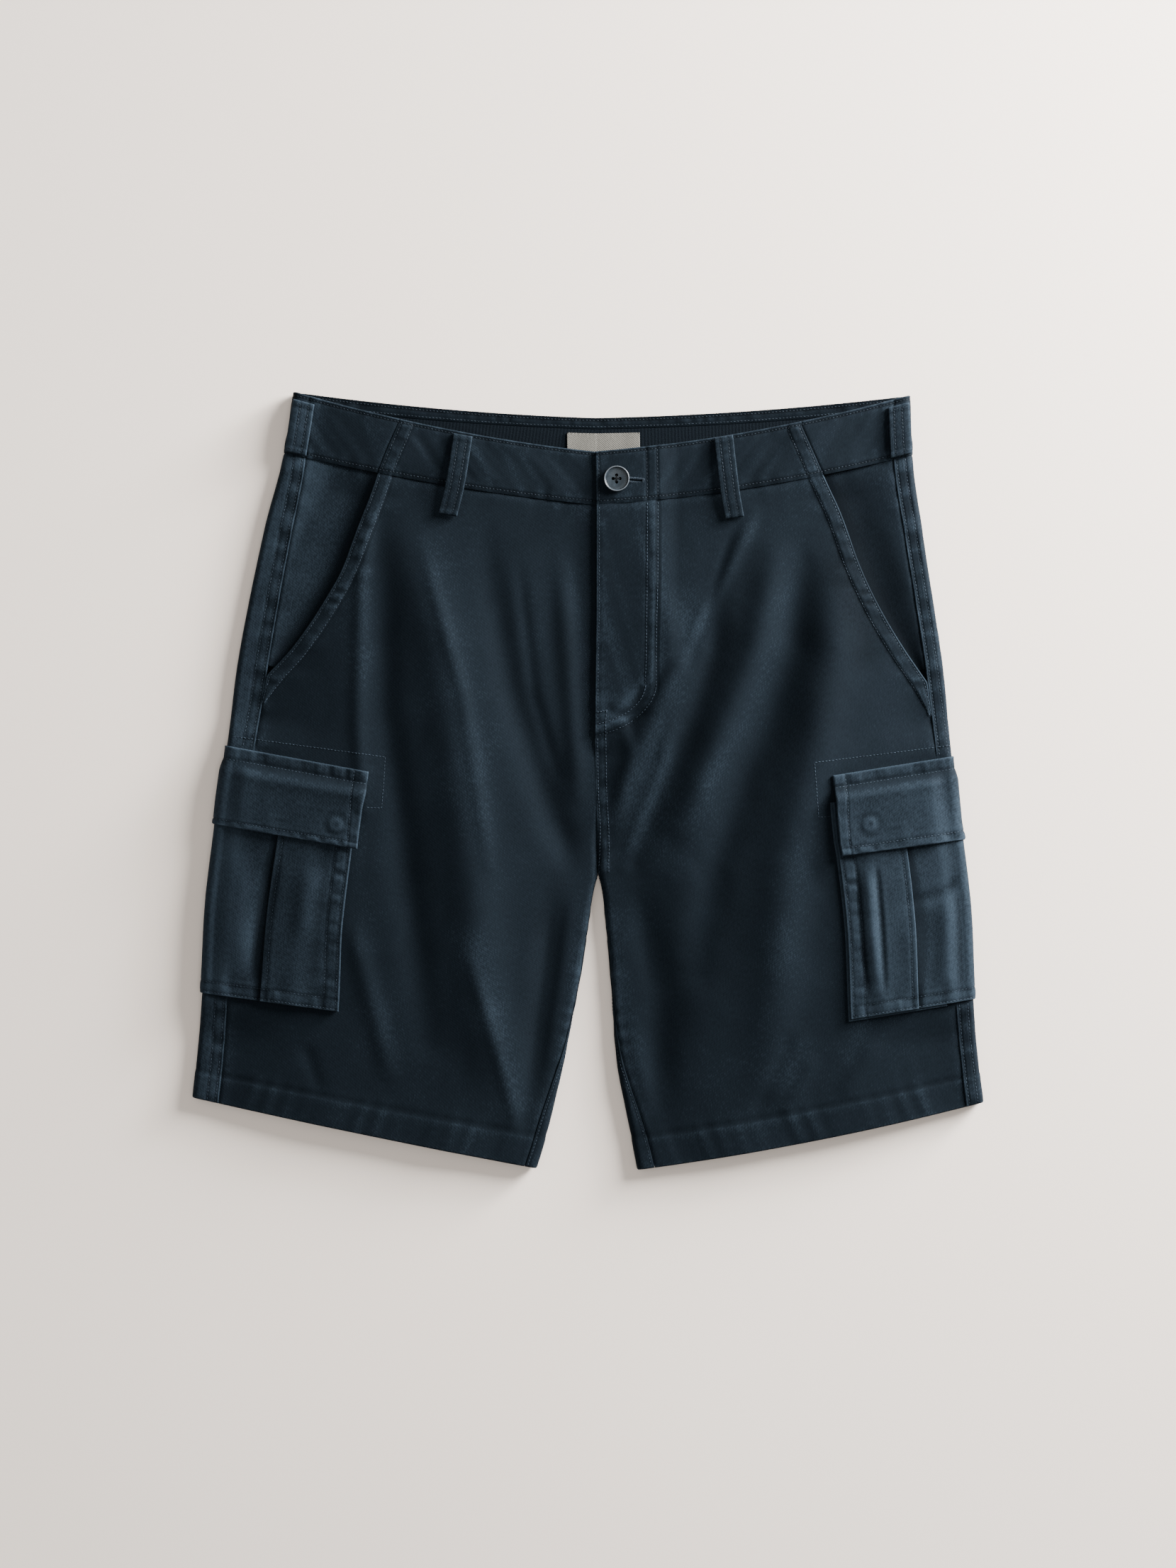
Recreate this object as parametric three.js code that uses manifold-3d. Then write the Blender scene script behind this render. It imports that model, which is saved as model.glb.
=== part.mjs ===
// Men's cargo shorts, buttoned up and laid flat on their back with the front side up.
// Millimetres: +X towards the wearer's left, +Y towards the waist, +Z up from the surface they lie on.
import * as THREE from "three";
import { mergeVertices } from "three/addons/utils/BufferGeometryUtils.js";
import Module from "manifold-3d";

const wasm = await Module();
wasm.setup();
const { clamp, lerp, smoothstep } = THREE.MathUtils;

// Driving sizes
const CLOTH = 1.2; // one layer of twill
const DOUBLE = 2; // cloth turned under and stitched down
const GAP = 0.3; // air between two pieces at a seam
const LAYER_GAP = 0.4; // air under a piece that lies on another
const FOLD = 3; // inside radius where the legs fold over at the sides
const STAY = 0.15; // half the gap where two panels meet
const PACKET = 3.2; // how far a pocket and its flap, folded under, lift the back off the surface
const QUARTER = (FOLD * Math.PI) / 2; // a quarter turn of the fold, along the cloth

// Cross-sections from waist to hem. down: way down the side fold. crown: room inside under the
// middle of the front. middle: the same at the centre front or the inner leg.
const SECTIONS = [
  { name: "waistTop", down: 0, crown: 9, middle: 8.5 },
  { name: "waistSeam", down: 42, crown: 9.5, middle: 8.5 },
  { name: "hip", down: 97, crown: 11.5, middle: 8 },
  { name: "mouthFoot", down: 198, crown: 13, middle: 7.5 },
  { name: "flapTop", down: 248, crown: 13, middle: 7 },
  { name: "crotch", down: 292, crown: 12.5, middle: 6 },
  { name: "flapFoot", down: 304, crown: 12.5, middle: 6 },
  { name: "thigh", down: 364, crown: 12, middle: 6 },
  { name: "pocketFoot", down: 424, crown: 11, middle: 6 },
  { name: "hemSeam", down: 479, crown: 9.5, middle: 6 },
  { name: "hemEdge", down: 497, crown: 9, middle: 6 },
];
const DOWN = Object.fromEntries(SECTIONS.map((row) => [row.name, row.down]));

// Each leg's outline, seen from above, one row for each section. outer: the side fold. inner: the
// centre front, and the inner leg below the crotch. sag: how far the section bows down in the
// middle. seam: side seam from the side fold. inseam: inner seam from the inner fold.
const OUTLINE = {
  right: [
    { outerX: -207.5, outerY: 274.5, innerX: 5, innerY: 232, sag: 5, seam: 12, inseam: 0 },
    { outerX: -214.5, outerY: 231.5, innerX: 5.5, innerY: 194.5, sag: 4, seam: 16, inseam: 0 },
    { outerX: -229, outerY: 176, innerX: 5.5, innerY: 137, sag: 2.5, seam: 20, inseam: 0 },
    { outerX: -248.5, outerY: 75.5, innerX: 4.5, innerY: 32, sag: 1, seam: 22, inseam: 0 },
    { outerX: -254.5, outerY: 25, innerX: 5.5, innerY: -22.5, sag: 0, seam: 20, inseam: 0 },
    { outerX: -261, outerY: -21.5, innerX: 7, innerY: -67.5, sag: 0, seam: 19.5, inseam: 0 },
    { outerX: -262, outerY: -30.5, innerX: 4.5, innerY: -76.5, sag: 0, seam: 19.5, inseam: 0 },
    { outerX: -269, outerY: -90.5, innerX: -4, innerY: -130.5, sag: 0, seam: 19, inseam: 0.5 },
    { outerX: -272, outerY: -149, innerX: -14, innerY: -184, sag: 0, seam: 18.5, inseam: 3 },
    { outerX: -277, outerY: -205.5, innerX: -30, innerY: -253, sag: 0.5, seam: 19, inseam: 9 },
    { outerX: -279, outerY: -223, innerX: -36.5, innerY: -273, sag: 1, seam: 19, inseam: 9 },
  ],
  left: [
    { outerX: 226.5, outerY: 272, innerX: 5, innerY: 232, sag: 5.5, seam: 12, inseam: 0 },
    { outerX: 228.5, outerY: 230, innerX: 5.5, innerY: 194.5, sag: 5.5, seam: 14, inseam: 0 },
    { outerX: 236.5, outerY: 172, innerX: 5.5, innerY: 137, sag: 3, seam: 13.5, inseam: 0 },
    { outerX: 251, outerY: 73, innerX: 4.5, innerY: 32, sag: 1, seam: 12.7, inseam: 0 },
    { outerX: 256, outerY: 17.5, innerX: 5.5, innerY: -22.5, sag: 0, seam: 11.5, inseam: 0 },
    { outerX: 260.5, outerY: -28, innerX: 7, innerY: -67.5, sag: 0, seam: 12, inseam: 0 },
    { outerX: 262.8, outerY: -41.5, innerX: 9, innerY: -75, sag: 0, seam: 12, inseam: 0 },
    { outerX: 269, outerY: -98, innerX: 15, innerY: -133, sag: 0, seam: 12.5, inseam: 1 },
    { outerX: 271.3, outerY: -153.5, innerX: 19, innerY: -191, sag: 1.2, seam: 13, inseam: 4.5 },
    { outerX: 276, outerY: -207.5, innerX: 30.5, innerY: -253.5, sag: 3, seam: 12.5, inseam: 12 },
    { outerX: 278.5, outerY: -226.5, innerX: 34.5, innerY: -274, sag: 3.6, seam: 12.5, inseam: 13 },
  ],
};
const BACK_RISE = 24.5; // how much higher the back of the waist reaches than its front
const CENTRE_Y = -0.2; // middle of the whole outline, which is the part's origin
const CENTRE_X = -0.2;
const CENTRE_LINE = 5; // the centre front and back

// The largest soft folds in the front: ridges where high is above 0, troughs where it is below.
const FOLDS = [
  { high: -2.6, wide: 11, line: [[-144, 200], [-144, 52], [-132, -28], [-113, -183]] },
  { high: 4.2, wide: 19, line: [[-130, 190], [-102, 92], [-87, -28], [-75, -158], [-58, -228]] },
  { high: -2.8, wide: 12, line: [[-75, 185], [-55, 67], [-24, -28], [-6, -58]] },
  { high: 1.8, wide: 7, line: [[-20, 165], [-13, 70], [-7, -10]] },
  { high: -3, wide: 9, line: [[-24, -75], [-33, -158], [-42, -240]] },
  { high: 2.4, wide: 9, line: [[55, 142], [60, 82], [40, 32], [17, -28]] },
  { high: -2.6, wide: 10, line: [[92, 152], [88, 92], [70, 32], [48, -18], [30, -53]] },
  { high: 3, wide: 11, line: [[136, 175], [116, 92], [88, 22], [66, -30]] },
  { high: -3, wide: 13, line: [[153, 182], [145, 92], [114, 12], [88, -60], [76, -133]] },
  { high: 4.4, wide: 18, line: [[173, 172], [171, 92], [154, 12], [139, -60], [127, -215]] },
  { high: -2.4, wide: 13, line: [[32, -75], [52, -148], [50, -225]] },
];

// A slant pocket's mouth runs from the waist to the side seam: the outer edge of its stitched band.
const MOUTH = {
  right: [[-132.5, 254.5], [-147.5, 218.5], [-156.5, 193], [-172, 152], [-185, 128], [-206, 97], [-227, 74]],
  left: [[150, 250], [166, 214], [177, 190], [190, 154], [203, 126], [220, 97], [238.5, 70]],
};
const MOUTH_BAND = 12;
const MOUTH_DEPTH = 4.2; // how far the side panel sinks under the mouth
const MOUTH_CLEAR = 5; // the mouth ends where it is this near the side seam

// Fly: the left front laps over the right one, stitched along a J.
const FLY = { wide: 43, straight: 150, foot: 190, lift: 2.5, underlap: 8, room: 10 };
const WAIST_LAP = 38; // how far the right end of the waistband runs under the left one
const BUTTON = { x: 20, y: 212.5, radius: 9, thick: 3.2, rim: 1.1, hole: 1.1, spread: 1.7, shank: 1.6 };
const HOLE_DEPTH = 0.9; // of the four sewing holes, below the button's dish
const BUTTONHOLE = { eye: 2.1, slit: 1, long: 20 };

const LOOP = { wide: 13.5, past: 5, arch: 2, sideAt: 9.75, sideArch: 1, thick: 1.8 };
const FRONT_LOOPS = {
  right: { top: [-88, 243.5], foot: [-99, 187] },
  left: { top: [95, 243], foot: [103, 185] },
};
const LABEL = { x: 10.5, wide: 52, high: 24, thick: 0.6, below: 3.5 };
const TURN = 9; // the strip of waistband turned over the top inside the back
const FACING_THICK = 0.8;
const FACING_DEPTH = -(DOUBLE - CLOTH) - GAP - FACING_THICK;

// Cargo pockets. front: how far each reaches over the front from the side fold. pleat: where the
// pleat's stitched edge lies at the top and at the foot, from the side fold.
const CARGO = {
  right: { front: 98, flap: 102, pleatTop: 47, pleatFoot: 42, bellows: -0.6 },
  left: { front: 88.5, flap: 86.5, pleatTop: 40, pleatFoot: 40, bellows: 1.5 },
};
const CARGO_BACK = 84; // how far they reach under the back
const CARGO_BAND = 12; // stitched edge
const CARGO_PLEAT = 26;
const PLEAT_STEP = 1.4; // how far the pleat's fold stands up
const POCKET_TOP = DOWN.flapTop + 18; // its upper edge, under the flap
const POCKET_LEAD = 22; // the front's columns follow the pocket from this far above it

const MATERIALS = {
  twill: { color: 0x27323e, roughness: 0.9 },
  facing: { color: 0x1b222b, roughness: 0.95 },
  tape: { color: 0xc8bfae, roughness: 0.9 },
  horn: { color: 0x4c5864, roughness: 0.35 },
};

// A smooth curve through one column of the outline, which never swings past its rows.
function through(at, values) {
  const slopes = values.slice(1).map((value, i) => (value - values[i]) / (at[i + 1] - at[i]));
  const tangents = values.map((_, i) => {
    const [before, after] = [slopes[Math.max(i - 1, 0)], slopes[Math.min(i, slopes.length - 1)]];
    return before * after <= 0 ? 0 : (2 * before * after) / (before + after);
  });
  return (asked) => {
    const down = clamp(asked, at[0], at[at.length - 1]);
    const next = at.findIndex((row) => row > down);
    const i = clamp(next < 0 ? at.length - 2 : next - 1, 0, at.length - 2);
    const span = at[i + 1] - at[i];
    const t = (down - at[i]) / span;
    const ease = t * t * (3 - 2 * t);
    const start = span * tangents[i] * t * (1 - t) * (1 - t);
    const end = span * tangents[i + 1] * t * t * (t - 1);
    return lerp(values[i], values[i + 1], ease) + start + end;
  };
}

const downs = SECTIONS.map((row) => row.down);
const crownAt = through(downs, SECTIONS.map((row) => row.crown));
const middleAt = through(downs, SECTIONS.map((row) => row.middle));

// The centre front and the inner leg meet at a corner, so their curve is made in two parts.
const CORNER = SECTIONS.findIndex((row) => row.name === "crotch");
function cornered(values) {
  const above = through(downs.slice(0, CORNER + 1), values.slice(0, CORNER + 1));
  const below = through(downs.slice(CORNER), values.slice(CORNER));
  return (down) => (down <= DOWN.crotch ? above(down) : below(down));
}

const LEGS = Object.fromEntries(
  Object.entries(OUTLINE).map(([side, rows]) => [
    side,
    Object.fromEntries(
      Object.keys(rows[0]).map((key) => {
        const values = rows.map((row) => row[key]);
        return [key, key.startsWith("inner") ? cornered(values) : through(downs, values)];
      }),
    ),
  ]),
);

// Distance from a point to a line of points, and how far along the line the nearest place is, 0 to 1.
function alongLine(line, x, y) {
  let best = { distance: Infinity, share: 0 };
  line.slice(1).forEach(([bx, by], i) => {
    const [ax, ay] = line[i];
    const [dx, dy] = [bx - ax, by - ay];
    const t = clamp(((x - ax) * dx + (y - ay) * dy) / (dx * dx + dy * dy), 0, 1);
    const distance = Math.hypot(x - ax - t * dx, y - ay - t * dy);
    if (distance < best.distance) best = { distance, share: (i + t) / (line.length - 1) };
  });
  return best;
}

// Height that the folds add at a point.
const foldsAt = (x, y) =>
  FOLDS.reduce((sum, { high, wide, line }) => {
    const { distance, share } = alongLine(line, x, y);
    const fade = smoothstep(share, -0.05, 0.25) * (1 - 0.6 * smoothstep(share, 0.8, 1.05));
    return sum + high * fade * Math.exp(-((distance / wide) ** 2));
  }, 0);

// How far the back is lifted by what is folded under it.
const liftAt = (down, inward) =>
  PACKET *
  smoothstep(down, DOWN.flapTop - 28, DOWN.flapTop - 3) *
  (1 - smoothstep(down, DOWN.pocketFoot + 3, DOWN.pocketFoot + 28)) *
  (1 - smoothstep(inward, CARGO_BACK + 6, CARGO_BACK + 40));

// One cross-section of a leg: where it starts, which way it runs, and how the cloth turns at the
// inner leg. The turn grows from nothing above the crotch to a full fold below it.
const known = new Map();
function section(side, down) {
  const key = side + down;
  if (known.has(key)) return known.get(key);
  const leg = LEGS[side];
  const outer = new THREE.Vector2(leg.outerX(down), leg.outerY(down));
  const span = new THREE.Vector2(leg.innerX(down), leg.innerY(down)).sub(outer);
  const full = span.length();
  const along = span.normalize();
  const made = { start: outer.addScaledVector(along, CLOTH), along, full, sag: leg.sag(down), down };
  for (const [face, from] of [["front", DOWN.mouthFoot + 30], ["back", DOWN.crotch - 16]]) {
    const turn = (Math.PI / 2) * smoothstep(down, from, DOWN.crotch);
    const width = full - CLOTH - CLOTH * Math.sin(turn) - STAY * smoothstep(down, from, DOWN.crotch);
    const flat = width - FOLD - FOLD * Math.sin(turn);
    made[face] = { turn, width, flat, length: QUARTER + flat + FOLD * turn };
  }
  known.set(key, made);
  return made;
}

// Plan position of a point that lies inward from the side fold, on the front or the back.
function plan(cut, face, inward) {
  const share = clamp(inward / cut.full, 0, 1);
  const rise = BACK_RISE * (1 - smoothstep(cut.down, DOWN.waistSeam, DOWN.crotch));
  const bow = face === "front" ? -4 * cut.sag * share * (1 - share) : rise * share * (0.55 + 0.45 * share);
  return [cut.start.x + cut.along.x * inward, cut.start.y + cut.along.y * inward + bow];
}

// Height of the inside of the cloth, away from the folds at the edges.
function height(cut, face, inward) {
  const { down } = cut;
  const low = CLOTH + liftAt(down, inward);
  if (face === "back") return low;
  const share = inward / cut.full;
  const edge = CLOTH + liftAt(down, 0) + 2 * FOLD;
  const base = lerp(edge, CLOTH + middleAt(down), smoothstep(share, 0.1, 0.9));
  const plateau = smoothstep(share, 0.02, 0.38) * (1 - smoothstep(share, 0.68, 1));
  const { turn, width } = cut.front;
  const nearInner = 1 - (turn / (Math.PI / 2)) * (1 - smoothstep(width - inward, FOLD, FOLD + 24));
  const mask =
    smoothstep(inward, FOLD + 8, FOLD + 36) *
    nearInner *
    smoothstep(down, DOWN.waistSeam - 6, DOWN.waistSeam + 34) *
    (1 - 0.5 * smoothstep(down, DOWN.pocketFoot, DOWN.hemEdge));
  return lerp(base, CLOTH + crownAt(down), plateau) + mask * foldsAt(...plan(cut, face, inward));
}

// The cloth's surface. round is measured along the cloth from the side fold: above 0 over the
// front, below 0 over the back, and past the inner fold it comes back onto the front. out is the
// distance outward from the inside of the panels.
function place(side, down, round, out) {
  const cut = section(side, down);
  const over = -round - cut.back.length;
  const face = round >= 0 || over > 0 ? "front" : "back";
  const way = over > 0 ? cut.front.length - over : Math.abs(round);
  const sign = face === "front" ? 1 : -1;
  const { turn, width, flat, length } = cut[face];
  let inward, up, tilt; // tilt: the outward direction's angle from straight up, towards the inner leg
  if (way < QUARTER) {
    tilt = way / FOLD - Math.PI / 2;
    inward = FOLD + FOLD * Math.sin(tilt);
    up = height(cut, face, FOLD) - sign * FOLD * (1 - Math.cos(tilt));
  } else {
    const past = way - QUARTER - flat;
    const bend = past > 0 && turn > 0 ? past / FOLD : 0;
    inward = bend > 0 ? width + FOLD * (Math.sin(bend) - Math.sin(turn)) : FOLD + way - QUARTER;
    const shoulder = Math.min(inward, FOLD + flat);
    const slope = height(cut, face, shoulder + 0.5) - height(cut, face, shoulder - 0.5);
    up = height(cut, face, bend > 0 ? FOLD + flat : inward) - sign * FOLD * (1 - Math.cos(bend));
    tilt = bend > 0 ? bend : -Math.atan(slope) * sign;
    if (way > length && turn === 0) tilt = 0;
  }
  const [x, y] = plan(cut, face, inward);
  const side2 = Math.sin(tilt) * out;
  return [
    x + cut.along.x * side2 - CENTRE_X,
    y + cut.along.y * side2 - CENTRE_Y,
    up + sign * Math.cos(tilt) * out,
  ];
}

// The place on the front of a leg at a plan position: [down, round].
function locate(side, x, y) {
  let [down, inward] = [200, 100];
  for (let i = 0; i < 30; i += 1) {
    const here = (d, w) => plan(section(side, d), "front", w);
    const [px, py] = here(down, inward);
    const [ax, ay] = here(down + 0.5, inward).map((value, k) => (value - [px, py][k]) * 2);
    const [bx, by] = here(down, inward + 0.5).map((value, k) => (value - [px, py][k]) * 2);
    const det = ax * by - ay * bx;
    down += ((x - px) * by - (y - py) * bx) / det;
    inward += (ax * (y - py) - ay * (x - px)) / det;
    down = clamp(down, 0, DOWN.hemEdge);
  }
  return [down, inward - FOLD + QUARTER];
}

// A line drawn over the front, as a function from down to round.
function drawn(side, points) {
  const found = points.map(([x, y]) => locate(side, x, y));
  return through(found.map((place) => place[0]), found.map((place) => place[1]));
}

// Numbers from a to b in n even steps.
const steps = (a, b, n) => Array.from({ length: n + 1 }, (_, i) => lerp(a, b, i / n));

// A row of places along the cloth through the given stops, each [round, steps from the stop before].
function lap(side, down, stops) {
  const rounds = [stops[0][0]];
  stops.slice(1).forEach(([to, n], i) => rounds.push(...steps(stops[i][0], to, n).slice(1)));
  return rounds.map((round) => ({ side, down, round }));
}

const flat = (depth) => () => depth;

// A piece of cloth over a grid of places, from one depth to another, closed round its edges. keep
// says which cells of the grid belong to the piece.
function cloth(grid, inner, outer, keep = () => true) {
  const [rows, columns] = [grid.length, grid[0].length];
  const spots = grid.flat();
  const points = [inner, outer].flatMap((depth) =>
    spots.flatMap((spot) => place(spot.side, spot.down, spot.round, depth(spot))),
  );
  const at = (layer, j, i) => layer * rows * columns + j * columns + i;
  const inside = (j, i) => j >= 0 && i >= 0 && j < rows - 1 && i < columns - 1 && keep(j, i);
  const faces = [];
  const quad = (a, b, c, d) => faces.push(a, b, c, a, c, d);
  const wall = (ja, ia, jb, ib) => quad(at(1, ja, ia), at(0, ja, ia), at(0, jb, ib), at(1, jb, ib));
  for (let j = 0; j < rows - 1; j += 1)
    for (let i = 0; i < columns - 1; i += 1) {
      if (!inside(j, i)) continue;
      quad(at(1, j, i), at(1, j + 1, i), at(1, j + 1, i + 1), at(1, j, i + 1));
      quad(at(0, j, i), at(0, j, i + 1), at(0, j + 1, i + 1), at(0, j + 1, i));
      if (!inside(j - 1, i)) wall(j, i + 1, j, i);
      if (!inside(j + 1, i)) wall(j + 1, i, j + 1, i + 1);
      if (!inside(j, i - 1)) wall(j, i, j + 1, i);
      if (!inside(j, i + 1)) wall(j + 1, i + 1, j, i + 1);
    }
  return outwards(points, faces);
}

// A closed surface from its points and faces, turned so that the faces point out.
function outwards(points, faces) {
  const corner = (k) => new THREE.Vector3().fromArray(points, faces[k] * 3);
  let volume = 0;
  for (let k = 0; k < faces.length; k += 3)
    volume += corner(k).dot(corner(k + 1).cross(corner(k + 2)));
  const geometry = new THREE.BufferGeometry();
  geometry.setAttribute("position", new THREE.Float32BufferAttribute(points, 3));
  geometry.setIndex(volume < 0 ? faces.slice().reverse() : faces);
  const used = mergeVertices(geometry, 1e-4); // a piece cut from its grid leaves places unused
  used.computeVertexNormals();
  return used;
}

// Solids for joining and cutting
function solid(geometry) {
  const bare = geometry.clone().deleteAttribute("normal").deleteAttribute("uv");
  const merged = mergeVertices(bare, 1e-4);
  const vertProperties = merged.attributes.position.array;
  const triVerts = new Uint32Array(merged.index.array);
  return new wasm.Manifold(new wasm.Mesh({ numProp: 3, vertProperties, triVerts }));
}

function surface(made) {
  const mesh = made.getMesh();
  const geometry = new THREE.BufferGeometry();
  geometry.setAttribute("position", new THREE.BufferAttribute(mesh.vertProperties, 3));
  geometry.setIndex(new THREE.BufferAttribute(mesh.triVerts, 1));
  geometry.computeVertexNormals();
  return geometry;
}

const garment = new THREE.Group();
function piece(name, geometry, material = "twill") {
  const mesh = new THREE.Mesh(geometry, new THREE.MeshStandardMaterial(MATERIALS[material]));
  mesh.name = name;
  garment.add(mesh);
}

const seamOf = (side, down) => LEGS[side].seam(down);
const centreOf = (side, down) => section(side, down).front.length;
const backOf = (side, down) => section(side, down).back.length;

// Where the two fronts lap at the centre: how far the left one stands off the right one.
function leftLap({ down, round }) {
  const reach = lerp(WAIST_LAP + 4, FLY.underlap + 4, smoothstep(down, FLY.straight, FLY.foot));
  const fade = 1 - smoothstep(centreOf("left", down) - round, reach, reach + 18);
  return FLY.lift * fade * (1 - smoothstep(down, FLY.foot + 4, FLY.foot + 24));
}

// Distance of the J-shaped stitching from the centre edge.
function flyWidth(down) {
  const t = clamp((down - FLY.straight) / (FLY.foot - FLY.straight), 0, 1);
  return FLY.wide * Math.sqrt(1 - t * t);
}

// The mouth band's two edges: its outer one is drawn, the inner one runs beside it.
function bandEdges(side, points) {
  const sign = side === "right" ? 1 : -1;
  const [before, end] = points.slice(-2);
  const run = Math.hypot(end[0] - before[0], end[1] - before[1]);
  const beyond = end.map((value, k) => value + ((value - before[k]) / run) * 45);
  const whole = [...points, beyond];
  const inner = whole.map(([x, y], i) => {
    const [ax, ay] = whole[Math.max(i - 1, 0)];
    const [bx, by] = whole[Math.min(i + 1, whole.length - 1)];
    const length = Math.hypot(bx - ax, by - ay);
    return [x - (sign * MOUTH_BAND * (by - ay)) / length, y + (sign * MOUTH_BAND * (bx - ax)) / length];
  });
  return { outer: drawn(side, whole), inner: drawn(side, inner) };
}

const BANDS = {
  right: bandEdges("right", MOUTH.right),
  left: bandEdges("left", MOUTH.left),
};
const mouthOuter = (side, down) => Math.max(BANDS[side].outer(down), seamOf(side, down) + GAP);
const mouthInner = (side, down) => Math.max(BANDS[side].inner(down), seamOf(side, down));
// The last place down where a line still lies a given distance inside the side seam.
const whereClear = (side, line, clear) =>
  steps(DOWN.waistSeam, DOWN.crotch, 500).findLast((down) => line(side, down) > seamOf(side, down) + clear);

// The front and back panels share their rows, so that their seams fit.
const mouthFoot = Object.fromEntries(
  Object.keys(BANDS).map((side) => [side, whereClear(side, mouthInner, 3 * GAP)]),
);
const PANEL_ROWS = [
  ...steps(DOWN.waistSeam + STAY, FLY.straight, 6),
  ...[161, 171, 179, 186, FLY.foot, 201],
  ...Object.values(mouthFoot),
  ...[DOWN.flapTop - 16, DOWN.flapTop - 3, 262, DOWN.crotch - 16, DOWN.crotch - 8, DOWN.crotch],
  ...steps(DOWN.flapFoot + 6, DOWN.pocketFoot - 10, 5),
  ...[3, 15, 28].map((past) => DOWN.pocketFoot + past),
  ...[DOWN.hemSeam, DOWN.hemSeam + 0.5, DOWN.hemEdge],
].sort((a, b) => a - b);

const gussetRoom = (round) => (CLOTH + LAYER_GAP) * smoothstep(round, QUARTER + 1, QUARTER + 14);
function pleatAt(side, down) {
  const share = clamp((down - DOWN.flapTop) / (DOWN.pocketFoot - DOWN.flapTop), 0, 1);
  return lerp(CARGO[side].pleatTop, CARGO[side].pleatFoot, share);
}
const pocketInner = ({ round }) => CLOTH + LAYER_GAP + gussetRoom(round);

// The pleat's fold makes a step; the doubled cloth beside it thins out towards the front edge.
function pocketOuter(spot) {
  const past = spot.round - pleatAt(spot.side, spot.down);
  const step = past > 0.1 ? PLEAT_STEP * (1 - smoothstep(past, CARGO_PLEAT - 4, CARGO_PLEAT + 12)) : 0;
  return pocketInner(spot) + CLOTH + step;
}

// The right front runs on under the left one, less and less towards the foot of the fly.
const underlap = (down) => 1 - 0.97 * smoothstep(down, FLY.foot - 20, FLY.foot - 1);

// The hem is turned up inside, so the cloth is double there.
const hemmed = ({ down }) => (down > DOWN.hemSeam ? -CLOTH : 0);

// The front's columns up to the fly: one follows the pocket's front edge, where there is a pocket.
function frontStops(side, down) {
  const start = mouthInner(side, down);
  const beforeFly = centreOf(side, down) - FLY.wide - FLY.room;
  const { front } = CARGO[side];
  const besidePocket = [[front - CARGO_BAND, 3], [front + 3, 1]];
  const partWay = [[lerp(start, beforeFly, 0.45), 4]];
  return [[start + GAP], ...(down > POCKET_TOP - POCKET_LEAD ? besidePocket : partWay), [beforeFly, 5]];
}

function frontPanel(side) {
  const rows = PANEL_ROWS.map((down) => {
    const centre = centreOf(side, down);
    const stops = frontStops(side, down);
    const seam = centre - LEGS[side].inseam(down) - STAY;
    const shoulder = Math.min(centre - QUARTER - 1, seam - 3);
    if (down >= FLY.foot) return lap(side, down, [...stops, [shoulder, 3], [seam, 4]]);
    if (side === "left") return lap(side, down, [...stops, [centre - flyWidth(down) - GAP, 7]]);
    const under = { side: "left", down, round: centreOf("left", down) - FLY.underlap * underlap(down) };
    return [...lap(side, down, [...stops, [centre, 6]]), under];
  });
  const lift = side === "left" ? leftLap : flat(0);
  return cloth(rows, (spot) => lift(spot) + hemmed(spot), (spot) => lift(spot) + CLOTH);
}

// The fly is thicker, because its facing is stitched down behind it.
function fly() {
  const rows = PANEL_ROWS.filter((down) => down < FLY.foot).map((down) => {
    const centre = centreOf("left", down);
    return lap("left", down, [[centre - flyWidth(down)], [centre, 4]]);
  });
  return cloth(rows, leftLap, (spot) => leftLap(spot) + DOUBLE);
}

// The back panel is one cut piece, from the side seam round the side fold, under the back and, below
// the crotch, round to the inseam. It is kept as three solids that meet face to face at its folds:
// the flat one, the side fold, and the inner fold below the crotch.
function backPanels(side) {
  const rows = PANEL_ROWS.map((down) => {
    const back = backOf(side, down);
    return lap(side, down, [
      [seamOf(side, down)],
      [QUARTER, 1],
      [-QUARTER, 6],
      [-(CARGO_BACK + 6), 2],
      [-(CARGO_BACK + 40), 1],
      [-(back - QUARTER), 2],
      [-(back - STAY), 3],
      [-(back - STAY) - Math.max(LEGS[side].inseam(down), 0.05), 2],
    ]);
  });
  const [sideColumns, innerColumns] = [7, 12]; // where the side fold ends and the inner one starts
  const atSide = (j, i) => i < sideColumns;
  const atInner = (j, i) => i >= innerColumns && PANEL_ROWS[j] >= DOWN.crotch - 16;
  const part = (keep) => cloth(rows, hemmed, flat(CLOTH), keep);
  piece("back_" + side, part((j, i) => !atSide(j, i) && !atInner(j, i)));
  piece("back_side_fold_" + side, part(atSide));
  piece("back_inner_fold_" + side, part(atInner));
}

// The side panel sinks away under the mouth band.
function sidePanel(side) {
  const foot = whereClear(side, mouthOuter, MOUTH_CLEAR);
  const least = CLOTH + 2 * LAYER_GAP;
  const sink = ({ down, round }) => {
    const seam = seamOf(side, down);
    const wide = mouthOuter(side, down) - seam;
    const open = smoothstep(wide, MOUTH_CLEAR, 40) * smoothstep(down, DOWN.waistSeam, DOWN.waistSeam + 20);
    return -lerp(least, MOUTH_DEPTH, open) * smoothstep((round - seam) / wide, 0, 0.85);
  };
  const rows = steps(DOWN.waistSeam + STAY, foot, 9).map((down) => {
    const seam = seamOf(side, down) + GAP;
    const edge = mouthOuter(side, down);
    return lap(side, down, [[seam], [edge, 6], [edge + MOUTH_BAND * 0.8, 1]]);
  });
  return cloth(rows, sink, (spot) => sink(spot) + CLOTH);
}

function mouthBand(side, downRows, thick) {
  const rows = downRows.map((down) =>
    lap(side, down, [[mouthOuter(side, down)], [mouthInner(side, down), 2]]),
  );
  return cloth(rows, flat(0), flat(thick));
}

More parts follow.
